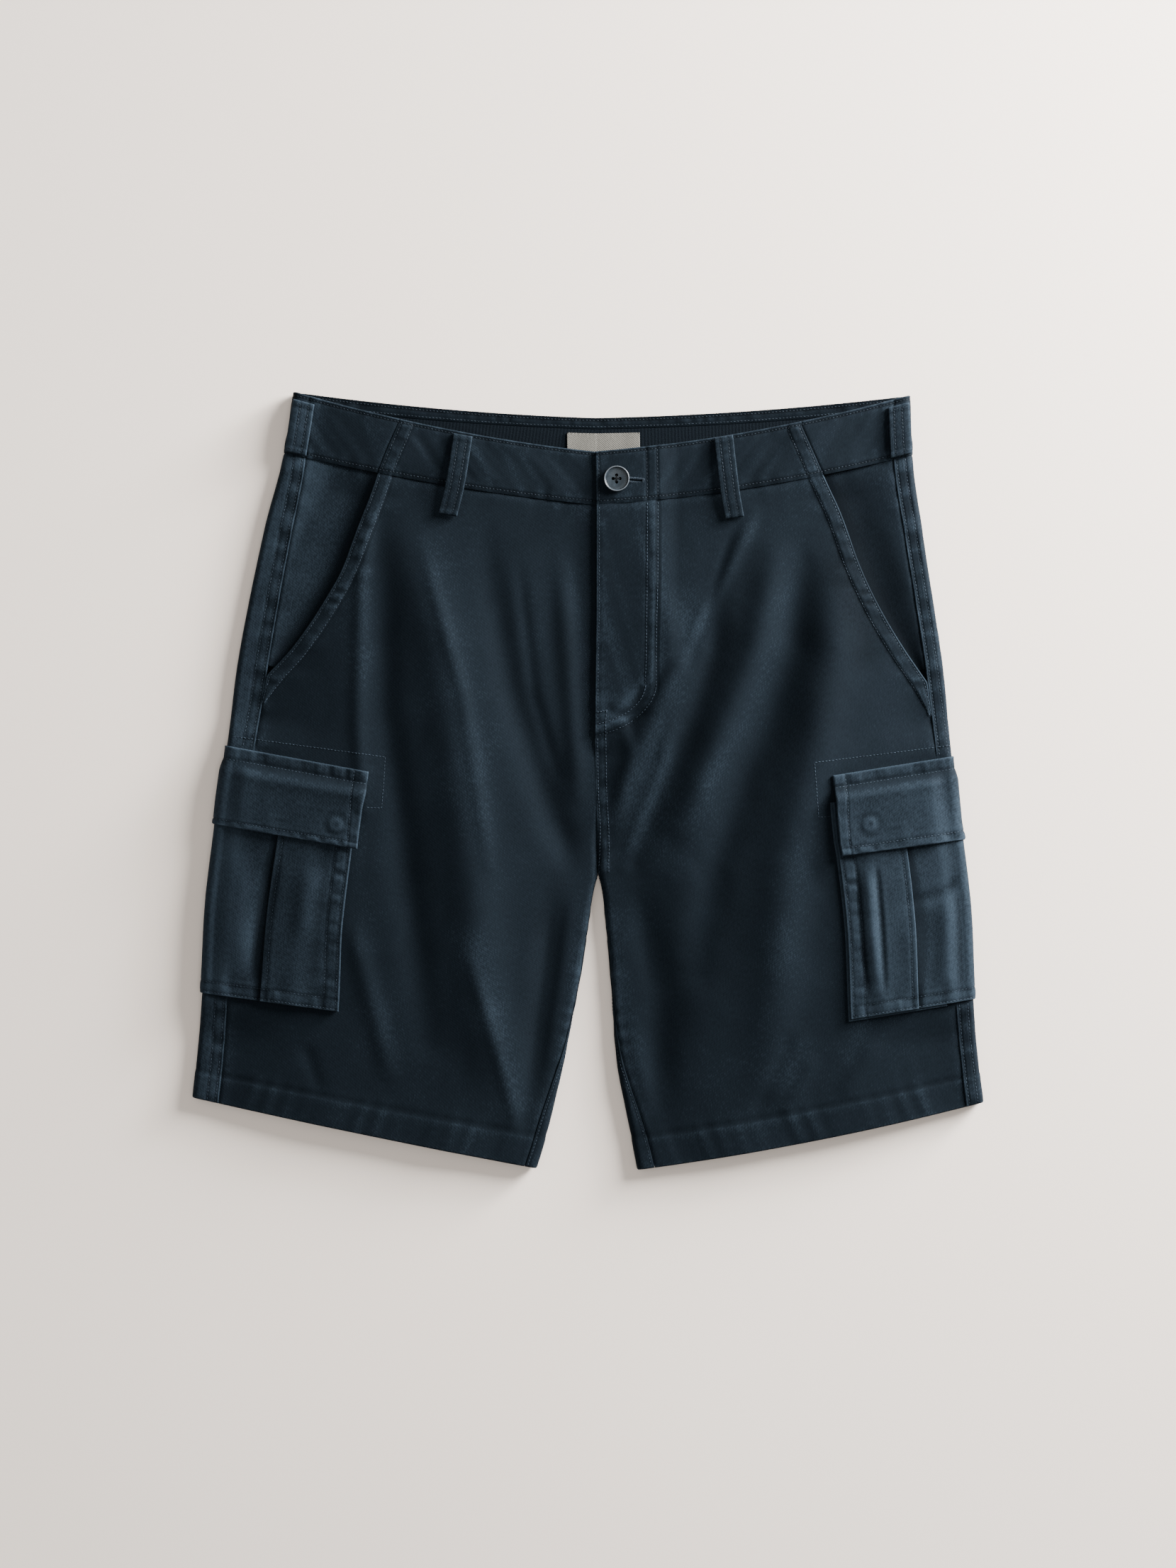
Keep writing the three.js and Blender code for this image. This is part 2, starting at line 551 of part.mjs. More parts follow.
// Waistband
const WAIST_ROWS = [0, 10, 21, 32, DOWN.waistSeam - STAY];

// On the back, the waistband's extra thickness lies inside, so that it rests flat with the panel.
const flush = ({ round }) => -(DOUBLE - CLOTH) * smoothstep(-round, 0, QUARTER);

function waistFront(side) {
  const rows = WAIST_ROWS.map((down) => {
    const end = centreOf(side, down);
    const row = lap(side, down, [[mouthInner(side, down) + GAP], [end - WAIST_LAP - 2, 6], [end, 4]]);
    if (side === "left") return row;
    const centre = centreOf("left", down);
    return [...row, ...lap("left", down, [[centre - 1], [centre - WAIST_LAP, 4]])];
  });
  const lift = side === "left" ? leftLap : flat(0);
  return cloth(rows, lift, (spot) => lift(spot) + DOUBLE);
}

function waistSide(side) {
  const rows = WAIST_ROWS.map((down) =>
    lap(side, down, [[seamOf(side, down) + GAP], [mouthOuter(side, down) - GAP, 6]]),
  );
  return cloth(rows, flat(0), flat(DOUBLE));
}

// A row that goes from one side round under the back to the other.
function aroundBack(down, stops) {
  const half = (side) => {
    const back = backOf(side, down);
    return lap(side, down, [...stops(side, down), [-back * 0.4, 2], [-back * 0.7, 2], [-back, 2]]);
  };
  return [...half("right"), ...half("left").reverse().slice(1)];
}

function waistBack() {
  const stops = (side, down) => [[seamOf(side, down)], [QUARTER, 1], [-QUARTER, 6]];
  return cloth(
    WAIST_ROWS.map((down) => aroundBack(down, stops)),
    flush,
    (spot) => flush(spot) + DOUBLE,
  );
}

function waistFacing() {
  const stops = () => [[-QUARTER - 1]];
  const rows = [TURN, 20, 31, DOWN.waistSeam - 2].map((down) => aroundBack(down, stops));
  return cloth(rows, flat(FACING_DEPTH), flat(FACING_DEPTH + FACING_THICK));
}

function label() {
  const depth = FACING_DEPTH - GAP;
  const top = TURN + LABEL.below;
  const rows = steps(top, top + LABEL.high, 2).map((down) => {
    const half = (side) => {
      const reach = LABEL.wide / 2 + (side === "left" ? 1 : -1) * (LABEL.x - CENTRE_LINE);
      const back = backOf(side, down);
      return lap(side, down, [[reach - back], [-back, 3]]);
    };
    return [...half("right"), ...half("left").reverse().slice(1)];
  });
  return cloth(rows, flat(depth - LABEL.thick), flat(depth));
}

// Belt loops stand off the waistband in an arch between their stitched ends.
function beltLoop(side, from, to, arch, columns) {
  const rows = steps(0, 1, 8).map((t) => {
    const [down, round] = from.map((value, k) => lerp(value, to[k], t));
    const row = lap(side, down, [[round - LOOP.wide / 2], [round + LOOP.wide / 2, columns]]);
    return row.map((spot) => ({ ...spot, t }));
  });
  const rise = ({ t }) => DOUBLE + LAYER_GAP + arch * Math.sin(Math.PI * t);
  return cloth(rows, rise, (spot) => rise(spot) + LOOP.thick);
}

// Cargo pockets
function pocket(side) {
  const { front } = CARGO[side];
  const rows = steps(POCKET_TOP, DOWN.pocketFoot, 7).map((down) => {
    const pleat = pleatAt(side, down);
    return lap(side, down, [
      [front],
      [pleat + CARGO_PLEAT + 12, 2],
      [pleat + CARGO_PLEAT - 4, 2],
      [pleat + 0.3, 1],
      [pleat, 1],
      [QUARTER + 14, 1],
      [QUARTER + 1, 2],
      [-QUARTER, 5],
      [-CARGO_BACK, 3],
    ]);
  });
  return cloth(rows, pocketInner, pocketOuter);
}

// The bellows strip under the pocket's front edge and foot.
function gusset(side) {
  const { front, bellows } = CARGO[side];
  const downRows = [...steps(POCKET_TOP, DOWN.pocketFoot - CARGO_BAND, 6), DOWN.pocketFoot + bellows];
  const rows = downRows.map((down) =>
    lap(side, down, [[front + bellows], [front - CARGO_BAND, 1], [QUARTER + 15, 6]]),
  );
  const keep = (j, i) => i < 1 || j >= rows.length - 2;
  return cloth(rows, flat(CLOTH + LAYER_GAP), flat(2 * CLOTH + LAYER_GAP), keep);
}

// The flap lies on the leg where it is stitched, then over the pocket.
function flap(side) {
  const reach = CARGO[side].flap;
  const over = ({ down, round }) => {
    const pleated = PLEAT_STEP * smoothstep(round, QUARTER + 1, QUARTER + 20);
    const full = gussetRoom(round) + pleated + CLOTH + LAYER_GAP;
    return CLOTH + LAYER_GAP + full * smoothstep(down, DOWN.flapTop + 7, POCKET_TOP - 1);
  };
  const thick = ({ round }) => lerp(CLOTH, DOUBLE, smoothstep(round, QUARTER, QUARTER + 14));
  const fromTop = [0, 7, 10, 13, 17, 28, 42, DOWN.flapFoot - DOWN.flapTop];
  const stops = [[reach], [QUARTER + 20, 8], [QUARTER + 1, 3], [-QUARTER, 6], [-(CARGO_BACK + 2), 3]];
  const rows = fromTop.map((past) => lap(side, DOWN.flapTop + past, stops));
  return cloth(rows, over, (spot) => over(spot) + thick(spot));
}

// The button sits on the right end of the waistband, with its shank through the buttonhole.
const buttonPlace = locate("left", BUTTON.x, BUTTON.y);
const lifted = leftLap({ down: buttonPlace[0], round: buttonPlace[1] });
const spotOf = (out) => new THREE.Vector3(...place("left", buttonPlace[0], buttonPlace[1], out));

// Turns and moves a shape made upright so that it stands on the cloth at the button.
function stood(geometry, out) {
  const up = spotOf(1).sub(spotOf(0)).normalize();
  const turn = new THREE.Quaternion().setFromUnitVectors(new THREE.Vector3(0, 0, 1), up);
  const foot = spotOf(out);
  return geometry.applyMatrix4(new THREE.Matrix4().compose(foot, turn, new THREE.Vector3(1, 1, 1)));
}

function buttonBody() {
  const { radius, thick, rim, hole, spread, shank } = BUTTON;
  const dish = thick - rim;
  const profile = [
    [0, -lifted],
    [shank, -lifted],
    [shank, 0],
    [radius - 1, 0],
    [radius, 1],
    [radius, thick - 0.8],
    [radius - 0.5, thick],
    [radius - 1.9, thick],
    [radius - 2.9, dish],
    [0, dish],
  ].map(([x, y]) => new THREE.Vector2(x, y));
  const body = new THREE.LatheGeometry(profile, 28).rotateX(Math.PI / 2);
  const drill = new THREE.CylinderGeometry(hole, hole, thick, 10).rotateX(Math.PI / 2);
  drill.translate(0, 0, dish + thick / 2 - HOLE_DEPTH);
  const holes = [0, 1, 2, 3].map((i) => {
    const [x, y] = [Math.cos((i * Math.PI) / 2), Math.sin((i * Math.PI) / 2)].map((v) => v * (shank + spread));
    return solid(drill.clone().translate(x, y, 0));
  });
  return stood(surface(holes.reduce((all, one) => all.subtract(one), solid(body))), lifted + DOUBLE + GAP);
}

function buttonhole() {
  const { eye, slit, long } = BUTTONHOLE;
  const reach = long - eye;
  const shape = new THREE.Shape();
  shape.absarc(0, 0, eye, 0.3, 2 * Math.PI - 0.3, false);
  shape.lineTo(reach, -slit / 2);
  shape.lineTo(reach, slit / 2);
  const cut = new THREE.ExtrudeGeometry(shape, { depth: 12, bevelEnabled: false, curveSegments: 10 });
  cut.rotateZ(0.08).translate(0, 0, -6);
  return solid(stood(cut, lifted + DOUBLE / 2));
}

piece("waistband_back", waistBack());
piece("waistband_facing", waistFacing(), "facing");
piece("label", label(), "tape");
for (const side of ["right", "left"]) {
  piece("front_" + side, frontPanel(side));
  backPanels(side);
  piece("side_panel_" + side, sidePanel(side));
  const bandRows = PANEL_ROWS.filter((down) => down <= mouthFoot[side]);
  piece("mouth_band_" + side, mouthBand(side, bandRows, DOUBLE));
  piece("mouth_band_top_" + side, mouthBand(side, WAIST_ROWS, DOUBLE + 0.3));
  piece("waistband_side_" + side, waistSide(side));
  piece("pocket_" + side, pocket(side));
  piece("gusset_" + side, gusset(side));
  piece("flap_" + side, flap(side));
  const [top, low] = [FRONT_LOOPS[side].top, FRONT_LOOPS[side].foot].map((spot) => locate(side, ...spot));
  const from = [Math.max(top[0], 0.5), top[1]];
  piece("loop_front_" + side, beltLoop(side, from, low, LOOP.arch, 3));
  const ends = [LOOP.past, DOWN.waistSeam - 1].map((down) => [down, LOOP.sideAt]);
  piece("loop_side_" + side, beltLoop(side, ...ends, LOOP.sideArch, 9));
}
piece("waistband_front_right", waistFront("right"));
piece("waistband_front_left", surface(solid(waistFront("left")).subtract(buttonhole())));
piece("fly", fly());
piece("button", buttonBody(), "horn");

export default garment;
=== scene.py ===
"""Men's cargo shorts in washed navy twill, buttoned up and laid flat with the front side up.

Lengths are in millimetres until a mesh is made: +X to the wearer's left, +Y to the waist, +Z up.
A place on the cloth is (side, down, round): down from the waist's top edge to the hem, and round
along the cloth from the side fold, above 0 over the front and below 0 under the back.
"""

import math

import bpy
import numpy as np
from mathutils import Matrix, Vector


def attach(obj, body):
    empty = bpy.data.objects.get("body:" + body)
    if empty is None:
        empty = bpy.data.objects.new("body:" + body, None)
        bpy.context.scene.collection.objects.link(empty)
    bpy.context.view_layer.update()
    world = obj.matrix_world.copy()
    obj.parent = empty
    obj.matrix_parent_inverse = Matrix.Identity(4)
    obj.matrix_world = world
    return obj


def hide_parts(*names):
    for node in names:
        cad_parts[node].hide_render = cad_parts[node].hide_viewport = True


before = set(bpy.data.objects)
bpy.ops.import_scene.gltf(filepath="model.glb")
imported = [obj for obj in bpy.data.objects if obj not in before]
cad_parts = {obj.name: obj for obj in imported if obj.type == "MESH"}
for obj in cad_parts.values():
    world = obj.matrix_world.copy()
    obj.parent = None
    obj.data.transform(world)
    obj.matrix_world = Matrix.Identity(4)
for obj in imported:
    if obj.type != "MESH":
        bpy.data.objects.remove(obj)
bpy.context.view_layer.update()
MM = 0.001
SIDES = ("right", "left")

# Driving sizes, as in the solids
CLOTH = 1.2
DOUBLE = 2
GAP = 0.3
LAYER_GAP = 0.4
FOLD = 3
STAY = 0.15
CLOSE = 0.02
SHUT = GAP - 0.05
PACKET = 3.2
QUARTER = FOLD * math.pi / 2
BACK_RISE = 24.5
CENTRE = (-0.2, -0.2)
CENTRE_LINE = 5

# Cross-sections from waist to hem: name, way down the side fold, room inside under the middle of
# the front, and room at the centre front or inner leg.
SECTIONS = (
    ("waist_top", 0, 9, 8.5),
    ("waist_seam", 42, 9.5, 8.5),
    ("hip", 97, 11.5, 8),
    ("mouth_foot", 198, 13, 7.5),
    ("flap_top", 248, 13, 7),
    ("crotch", 292, 12.5, 6),
    ("flap_foot", 304, 12.5, 6),
    ("thigh", 364, 12, 6),
    ("pocket_foot", 424, 11, 6),
    ("hem_seam", 479, 9.5, 6),
    ("hem_edge", 497, 9, 6),
)
DOWN = {name: down for name, down, _, _ in SECTIONS}
CORNER = [row[0] for row in SECTIONS].index("crotch")

# Outline of each leg, a row for each section: side fold x and y, centre or inner leg x and y, how
# far the section bows down, side seam from the side fold, inner seam from the inner fold.
COLUMNS = ("outer_x", "outer_y", "inner_x", "inner_y", "sag", "seam", "inseam")
OUTLINE = {
    "right": (
        (-207.5, 274.5, 5, 232, 5, 12, 0),
        (-214.5, 231.5, 5.5, 194.5, 4, 16, 0),
        (-229, 176, 5.5, 137, 2.5, 20, 0),
        (-248.5, 75.5, 4.5, 32, 1, 22, 0),
        (-254.5, 25, 5.5, -22.5, 0, 20, 0),
        (-261, -21.5, 7, -67.5, 0, 19.5, 0),
        (-262, -30.5, 4.5, -76.5, 0, 19.5, 0),
        (-269, -90.5, -4, -130.5, 0, 19, 0.5),
        (-272, -149, -14, -184, 0, 18.5, 3),
        (-277, -205.5, -30, -253, 0.5, 19, 9),
        (-279, -223, -36.5, -273, 1, 19, 9),
    ),
    "left": (
        (226.5, 272, 5, 232, 5.5, 12, 0),
        (228.5, 230, 5.5, 194.5, 5.5, 14, 0),
        (236.5, 172, 5.5, 137, 3, 13.5, 0),
        (251, 73, 4.5, 32, 1, 12.7, 0),
        (256, 17.5, 5.5, -22.5, 0, 11.5, 0),
        (260.5, -28, 7, -67.5, 0, 12, 0),
        (262.8, -41.5, 9, -75, 0, 12, 0),
        (269, -98, 15, -133, 0, 12.5, 1),
        (271.3, -153.5, 19, -191, 1.2, 13, 4.5),
        (276, -207.5, 30.5, -253.5, 3, 12.5, 12),
        (278.5, -226.5, 34.5, -274, 3.6, 12.5, 13),
    ),
}

# Soft folds in the front: height at the crest (below 0 a trough), half width, and the line.
FOLDS = (
    (-2.6, 11, ((-144, 200), (-144, 52), (-132, -28), (-113, -183))),
    (4.2, 19, ((-130, 190), (-102, 92), (-87, -28), (-75, -158), (-58, -228))),
    (-2.8, 12, ((-75, 185), (-55, 67), (-24, -28), (-6, -58))),
    (1.8, 7, ((-20, 165), (-13, 70), (-7, -10))),
    (-3, 9, ((-24, -75), (-33, -158), (-42, -240))),
    (2.4, 9, ((55, 142), (60, 82), (40, 32), (17, -28))),
    (-2.6, 10, ((92, 152), (88, 92), (70, 32), (48, -18), (30, -53))),
    (3, 11, ((136, 175), (116, 92), (88, 22), (66, -30))),
    (-3, 13, ((153, 182), (145, 92), (114, 12), (88, -60), (76, -133))),
    (4.4, 18, ((173, 172), (171, 92), (154, 12), (139, -60), (127, -215))),
    (-2.4, 13, ((32, -75), (52, -148), (50, -225))),
)
# Smaller creases, only in this finer surface.
CREASES = (
    (1.3, 5, ((-149, 205), (-160, 140), (-162, 40), (-158, -20))),
    (1.0, 5, ((-118, 170), (-88, 60), (-70, -60))),
    (1.5, 7, ((-168, -95), (-140, -205))),
    (-1.0, 5, ((-50, 160), (-38, 60), (-22, 5))),
    (1.2, 5, ((-84, -120), (-64, -190), (-50, -245))),
    (-1.0, 4, ((-16, -80), (-25, -150), (-34, -215))),
    (1.3, 5, ((60, 45), (52, 12), (34, -33), (24, -60))),
    (1.4, 5, ((120, 195), (97, 147), (72, 100))),
    (-1.0, 4, ((104, 180), (84, 120), (70, 80))),
    (1.4, 6, ((14, -85), (24, -155), (40, -225))),
    (1.2, 6, ((160, -190), (137, -240))),
    (-1.2, 6, ((145, -175), (118, -235))),
    (1.0, 6, ((205, -180), (178, -225))),
    (-0.9, 5, ((-200, -185), (-190, -215))),
    (1.0, 5, ((18, 60), (30, 20), (20, -20))),
    (-1.0, 4, ((10, 52), (28, 44), (44, 48))),
)

# Where the cloth of the legs is painted lighter (above 0) or darker, part fading of fold crests and part painted
# light and shade of the folds, with a painted shadow beside the fly's J: strength, half width, and the line.
SHADES = (
    (-0.5, 16, ((-138, 205), (-136, 80), (-126, -20), (-110, -180))),
    (0.4, 18, ((-118, 190), (-95, 92), (-78, -10), (-72, -70))),
    (-0.6, 13, ((-72, 170), (-52, 70), (-28, -10), (-12, -50))),
    (0.5, 4, ((-14, 165), (-4, 90), (1, 40), (4, -28))),
    (-0.7, 12, ((-22, 130), (-14, 60), (-8, -20))),
    (0.75, 13, ((-84, -90), (-70, -145), (-55, -205), (-42, -250))),
    (-0.8, 13, ((-28, -80), (-36, -150), (-42, -230))),
    (0.6, 7, ((0, -75), (-12, -150), (-22, -210))),
    (0.45, 16, ((-160, -95), (-132, -205))),
    (0.4, 9, ((-150, 200), (-158, 130), (-160, 40))),
    (-0.45, 9, ((-238, -95), (-240, -150))),
    (0.65, 12, ((60, 160), (68, 105), (60, 60), (45, 30), (28, -5), (14, -40))),
    (0.6, 7, ((62, 45), (50, 5), (36, -33), (24, -60))),
    (-0.9, 7, ((10, 26), (30, 38), (44, 55))),
    (0.5, 5, ((124, 195), (98, 147), (74, 100))),
    (-0.75, 11, ((128, 180), (104, 115), (84, 60), (62, -10))),
    (0.5, 9, ((150, 185), (142, 120), (118, 60), (88, 5), (58, -70))),
    (-1.0, 17, ((158, 165), (160, 92), (152, 40), (128, 10), (108, -60), (98, -135), (108, -190))),
    (0.5, 14, ((138, -5), (148, -58), (128, -145), (122, -225))),
    (-0.6, 12, ((70, -60), (66, -120), (74, -190))),
    (0.7, 9, ((14, -75), (24, -155), (38, -225))),
    (-0.5, 9, ((36, -90), (52, -160), (56, -225))),
    (0.5, 8, ((156, -176), (134, -222))),
    (0.5, 8, ((205, -140), (178, -208))),
    (-1.3, 15, ((170, 172), (188, 120), (202, 76))),
)

# A slant pocket's mouth, from the waist to the side seam: the outer edge of its stitched band.
MOUTH = {
    "right": (
        (-132.5, 254.5), (-147.5, 218.5), (-156.5, 193), (-172, 152), (-185, 128), (-206, 97), (-227, 74),
    ),
    "left": ((150, 250), (166, 214), (177, 190), (190, 154), (203, 126), (220, 97), (238.5, 70)),
}
MOUTH_BAND = 12
MOUTH_DEPTH = 4.2
MOUTH_CLEAR = 5

# The fronts lap down to "straight" and part by "foot"; the J of stitches bends at "turn" and ends at "end".
FLY = {"wide": 43, "straight": 150, "foot": 190, "lift": 2.5, "underlap": 8, "turn": 169, "end": 197}
WAIST_LAP = 38
BUTTON = {"x": 20, "y": 212.5, "radius": 9, "thick": 3.2, "rim": 1.1, "hole": 1.1, "hole_at": 2.45}
HOLE = {"eye": 2.1, "slit": 1, "long": 20, "lean": -0.08, "edge": 1.7, "pitch": 0.55}
LOOP = {"wide": 13.5, "past": 5, "arch": 2, "side_at": 9.75, "side_arch": 1, "thick": 1.8, "row": 2.9, "tack": 2.6}
FRONT_LOOPS = {"right": ((-88, 243.5), (-99, 187)), "left": ((95, 243), (103, 185))}
LABEL = {"x": 10.5, "wide": 52, "high": 24, "thick": 0.6, "below": 3.5}
TURN = 9
FACING_THICK = 0.8
FACING_DEPTH = -(DOUBLE - CLOTH) - GAP - FACING_THICK

# Cargo pockets: reach over the front from the side fold, the flap's reach, the pleat's place at the
# top and at the foot, and how far the bellows strip stands out at the front edge.
CARGO = {
    "right": {"front": 98, "flap": 102, "pleat_top": 47, "pleat_foot": 42, "bellows": -0.6},
    "left": {"front": 88.5, "flap": 86.5, "pleat_top": 40, "pleat_foot": 40, "bellows": 1.5},
}
CARGO_BACK = 84
CARGO_BAND = 12
CARGO_PLEAT = 26
PLEAT_STEP = 1.4
POCKET_TOP = DOWN["flap_top"] + 18
POCKET_FOLDS = {
    "right": (
        (1.3, 8, ((-190, -58), (-196, -85), (-200, -118))),
        (1.5, 10, ((-240, -50), (-244, -90), (-247, -140))),
        (-1.8, 6, ((-218, -55), (-228, -100), (-236, -150))),
    ),
    "left": (
        (2.3, 5, ((195, -55), (198, -98), (203, -155))),
        (-0.9, 1.6, ((188, -58), (191, -100), (193.5, -126), (197.5, -155))),
        (-1.1, 2, ((202, -55), (205.5, -97), (209, -155))),
        (1.3, 7, ((252, -75), (253, -110), (252, -165))),
        (-1.0, 5, ((272, -62), (248, -78), (215, -88))),
        (0.9, 7, ((226, -92), (229, -125), (232, -165))),
    ),
}

# Rows of stitches: how far each lies from the edge or seam beside it.
SEAM_ROWS = (2, 8)
MOUTH_ROWS = (2, 10)
FLY_ROWS = (1, -6.5)
EDGE_ROW = 2.2
WAIST_ROWS = (2.4, 39.4)
TURN_ROWS = (2, 7)
POCKET_ROWS = (2.5, 11)
FOOT_ROWS = (1.5, 8.75)
PLEAT_ROW = 4
FLAP_ROWS = {"top": 8.5, "foot": 5.5, "front_top": 9, "front_foot": 7}
HEM = 20
STAY_ROWS = {
    "right": ((-250, 31.5), (-143, 17), (-145.5, -19), (-156, -18.5)),
    "left": ((254, 25), (158.5, 13), (161.5, -25.5), (172, -24.5)),
}
SNAP = {"radius": 6.5, "high": 0.55}
SNAPS = {"right": (-177, -30.5), "left": (196.5, -30.5)}


# Curves, steps and waves
def smooth(x, low, high):
    t = np.clip((x - low) / (high - low), 0, 1)
    return t * t * (3 - 2 * t)


def mix(a, b, t):
    return a + (b - a) * t


def through(at, values):
    """A smooth curve through the values, which never swings past them."""
    at, values = np.array(at, float), np.array(values, float)
    slopes = np.diff(values) / np.diff(at)
    before, after = np.r_[slopes[0], slopes], np.r_[slopes, slopes[-1]]
    total = np.where(before * after > 0, before + after, 1)
    tangents = np.where(before * after > 0, 2 * before * after / total, 0)

    def curve(asked):
        down = np.clip(asked, at[0], at[-1])
        i = np.clip(np.searchsorted(at, down, side="right") - 1, 0, len(at) - 2)
        span = at[i + 1] - at[i]
        t = (down - at[i]) / span
        middle = mix(values[i], values[i + 1], t * t * (3 - 2 * t))
        return middle + span * t * (1 - t) * (tangents[i] * (1 - t) - tangents[i + 1] * t)

    return curve


def wobble(s, pitch, seed):
    """Smooth random waves from -1 to 1 along s."""
    values = np.random.default_rng(seed).uniform(-1, 1, 256)
    x = np.asarray(s) / pitch + 64
    i = np.floor(x).astype(int)
    return mix(values[i % 256], values[(i + 1) % 256], smooth(x - i, 0, 1))


def cloudy(x, y, size, seed):
    """Smooth random unevenness from -1 to 1 over x and y."""
    values = np.random.default_rng(seed).uniform(-1, 1, (128, 128))
    x, y = x / size + 64, y / size + 64
    i, j = np.floor(x).astype(int), np.floor(y).astype(int)
    u, v = smooth(x - i, 0, 1), smooth(y - j, 0, 1)
    i, j, k, m = i % 128, j % 128, (i + 1) % 128, (j + 1) % 128
    return mix(mix(values[i, j], values[k, j], u), mix(values[i, m], values[k, m], u), v)


def along_line(line, x, y):
    """Distance from each point to a line of points, and the nearest place's share of the line."""
    best, share = np.full(np.shape(x), 1e9), np.zeros(np.shape(x))
    for i, ((ax, ay), (bx, by)) in enumerate(zip(line, line[1:])):
        dx, dy = bx - ax, by - ay
        t = np.clip(((x - ax) * dx + (y - ay) * dy) / (dx * dx + dy * dy), 0, 1)
        d = np.hypot(x - ax - t * dx, y - ay - t * dy)
        share = np.where(d < best, (i + t) / (len(line) - 1), share)
        best = np.minimum(d, best)
    return best, share


# The cloth's surface, worked out as in the solids
downs = [row[1] for row in SECTIONS]
crown_at = through(downs, [row[2] for row in SECTIONS])
middle_at = through(downs, [row[3] for row in SECTIONS])


def cornered(values):
    """The centre front and the inner leg meet at a corner, so their curve is made in two parts."""
    above = through(downs[: CORNER + 1], values[: CORNER + 1])
    below = through(downs[CORNER:], values[CORNER:])
    return lambda down: np.where(down <= DOWN["crotch"], above(down), below(down))


LEGS = {
    side: {
        key: (cornered if key.startswith("inner") else lambda v: through(downs, v))([row[k] for row in rows])
        for k, key in enumerate(COLUMNS)
    }
    for side, rows in OUTLINE.items()
}


def folds_at(x, y):
    total = np.zeros(np.shape(x))
    for high, wide, line in FOLDS + CREASES:
        distance, share = along_line(line, x, y)
        fade = smooth(share, -0.05, 0.25) * (1 - 0.6 * smooth(share, 0.8, 1.05))
        total += high * fade * np.exp(-((distance / wide) ** 2))
    return total


def lift_at(down, inward):
    rise = smooth(down, DOWN["flap_top"] - 28, DOWN["flap_top"] - 3)
    fall = smooth(down, DOWN["pocket_foot"] + 3, DOWN["pocket_foot"] + 28)
    return PACKET * rise * (1 - fall) * (1 - smooth(inward, CARGO_BACK + 6, CARGO_BACK + 40))


def section(side, down):
    """A leg's cross-section: its ends and slope, and how each face turns down at the inner leg."""
    leg = LEGS[side]
    ox, oy = leg["outer_x"](down), leg["outer_y"](down)
    dx, dy = leg["inner_x"](down) - ox, leg["inner_y"](down) - oy
    full = np.hypot(dx, dy)
    cut = {"down": down, "full": full, "ax": dx / full, "ay": dy / full, "sag": leg["sag"](down)}
    cut["x"], cut["y"] = ox + CLOTH * cut["ax"], oy + CLOTH * cut["ay"]
    for face, start in (("front", DOWN["mouth_foot"] + 30), ("back", DOWN["crotch"] - 16)):
        share = smooth(down, start, DOWN["crotch"])
        turn = math.pi / 2 * share
        width = full - CLOTH - CLOTH * np.sin(turn) - STAY * share
        flat = width - FOLD - FOLD * np.sin(turn)
        cut[face] = {"turn": turn, "width": width, "flat": flat, "length": QUARTER + flat + FOLD * turn}
    return cut


def plan(cut, front, inward):
    share = np.clip(inward / cut["full"], 0, 1)
    rise = BACK_RISE * (1 - smooth(cut["down"], DOWN["waist_seam"], DOWN["crotch"]))
    bow = np.where(front, -4 * cut["sag"] * share * (1 - share), rise * share * (0.55 + 0.45 * share))
    return cut["x"] + cut["ax"] * inward, cut["y"] + cut["ay"] * inward + bow


def height(cut, front, inward):
    down = cut["down"]
    low = CLOTH + lift_at(down, inward)
    share = inward / cut["full"]
    edge = CLOTH + lift_at(down, 0) + 2 * FOLD
    base = mix(edge, CLOTH + middle_at(down), smooth(share, 0.1, 0.9))
    plateau = smooth(share, 0.02, 0.38) * (1 - smooth(share, 0.68, 1))
    turned = cut["front"]["turn"] / (math.pi / 2)
    near_inner = 1 - turned * (1 - smooth(cut["front"]["width"] - inward, FOLD, FOLD + 24))
    mask = smooth(inward, FOLD + 8, FOLD + 36) * near_inner
    mask = mask * smooth(down, DOWN["waist_seam"] - 6, DOWN["waist_seam"] + 34)
    mask = mask * (1 - 0.5 * smooth(down, DOWN["pocket_foot"], DOWN["hem_edge"]))
    high = mix(base, CLOTH + crown_at(down), plateau) + mask * folds_at(*plan(cut, True, inward))
    return np.where(front, high, low)


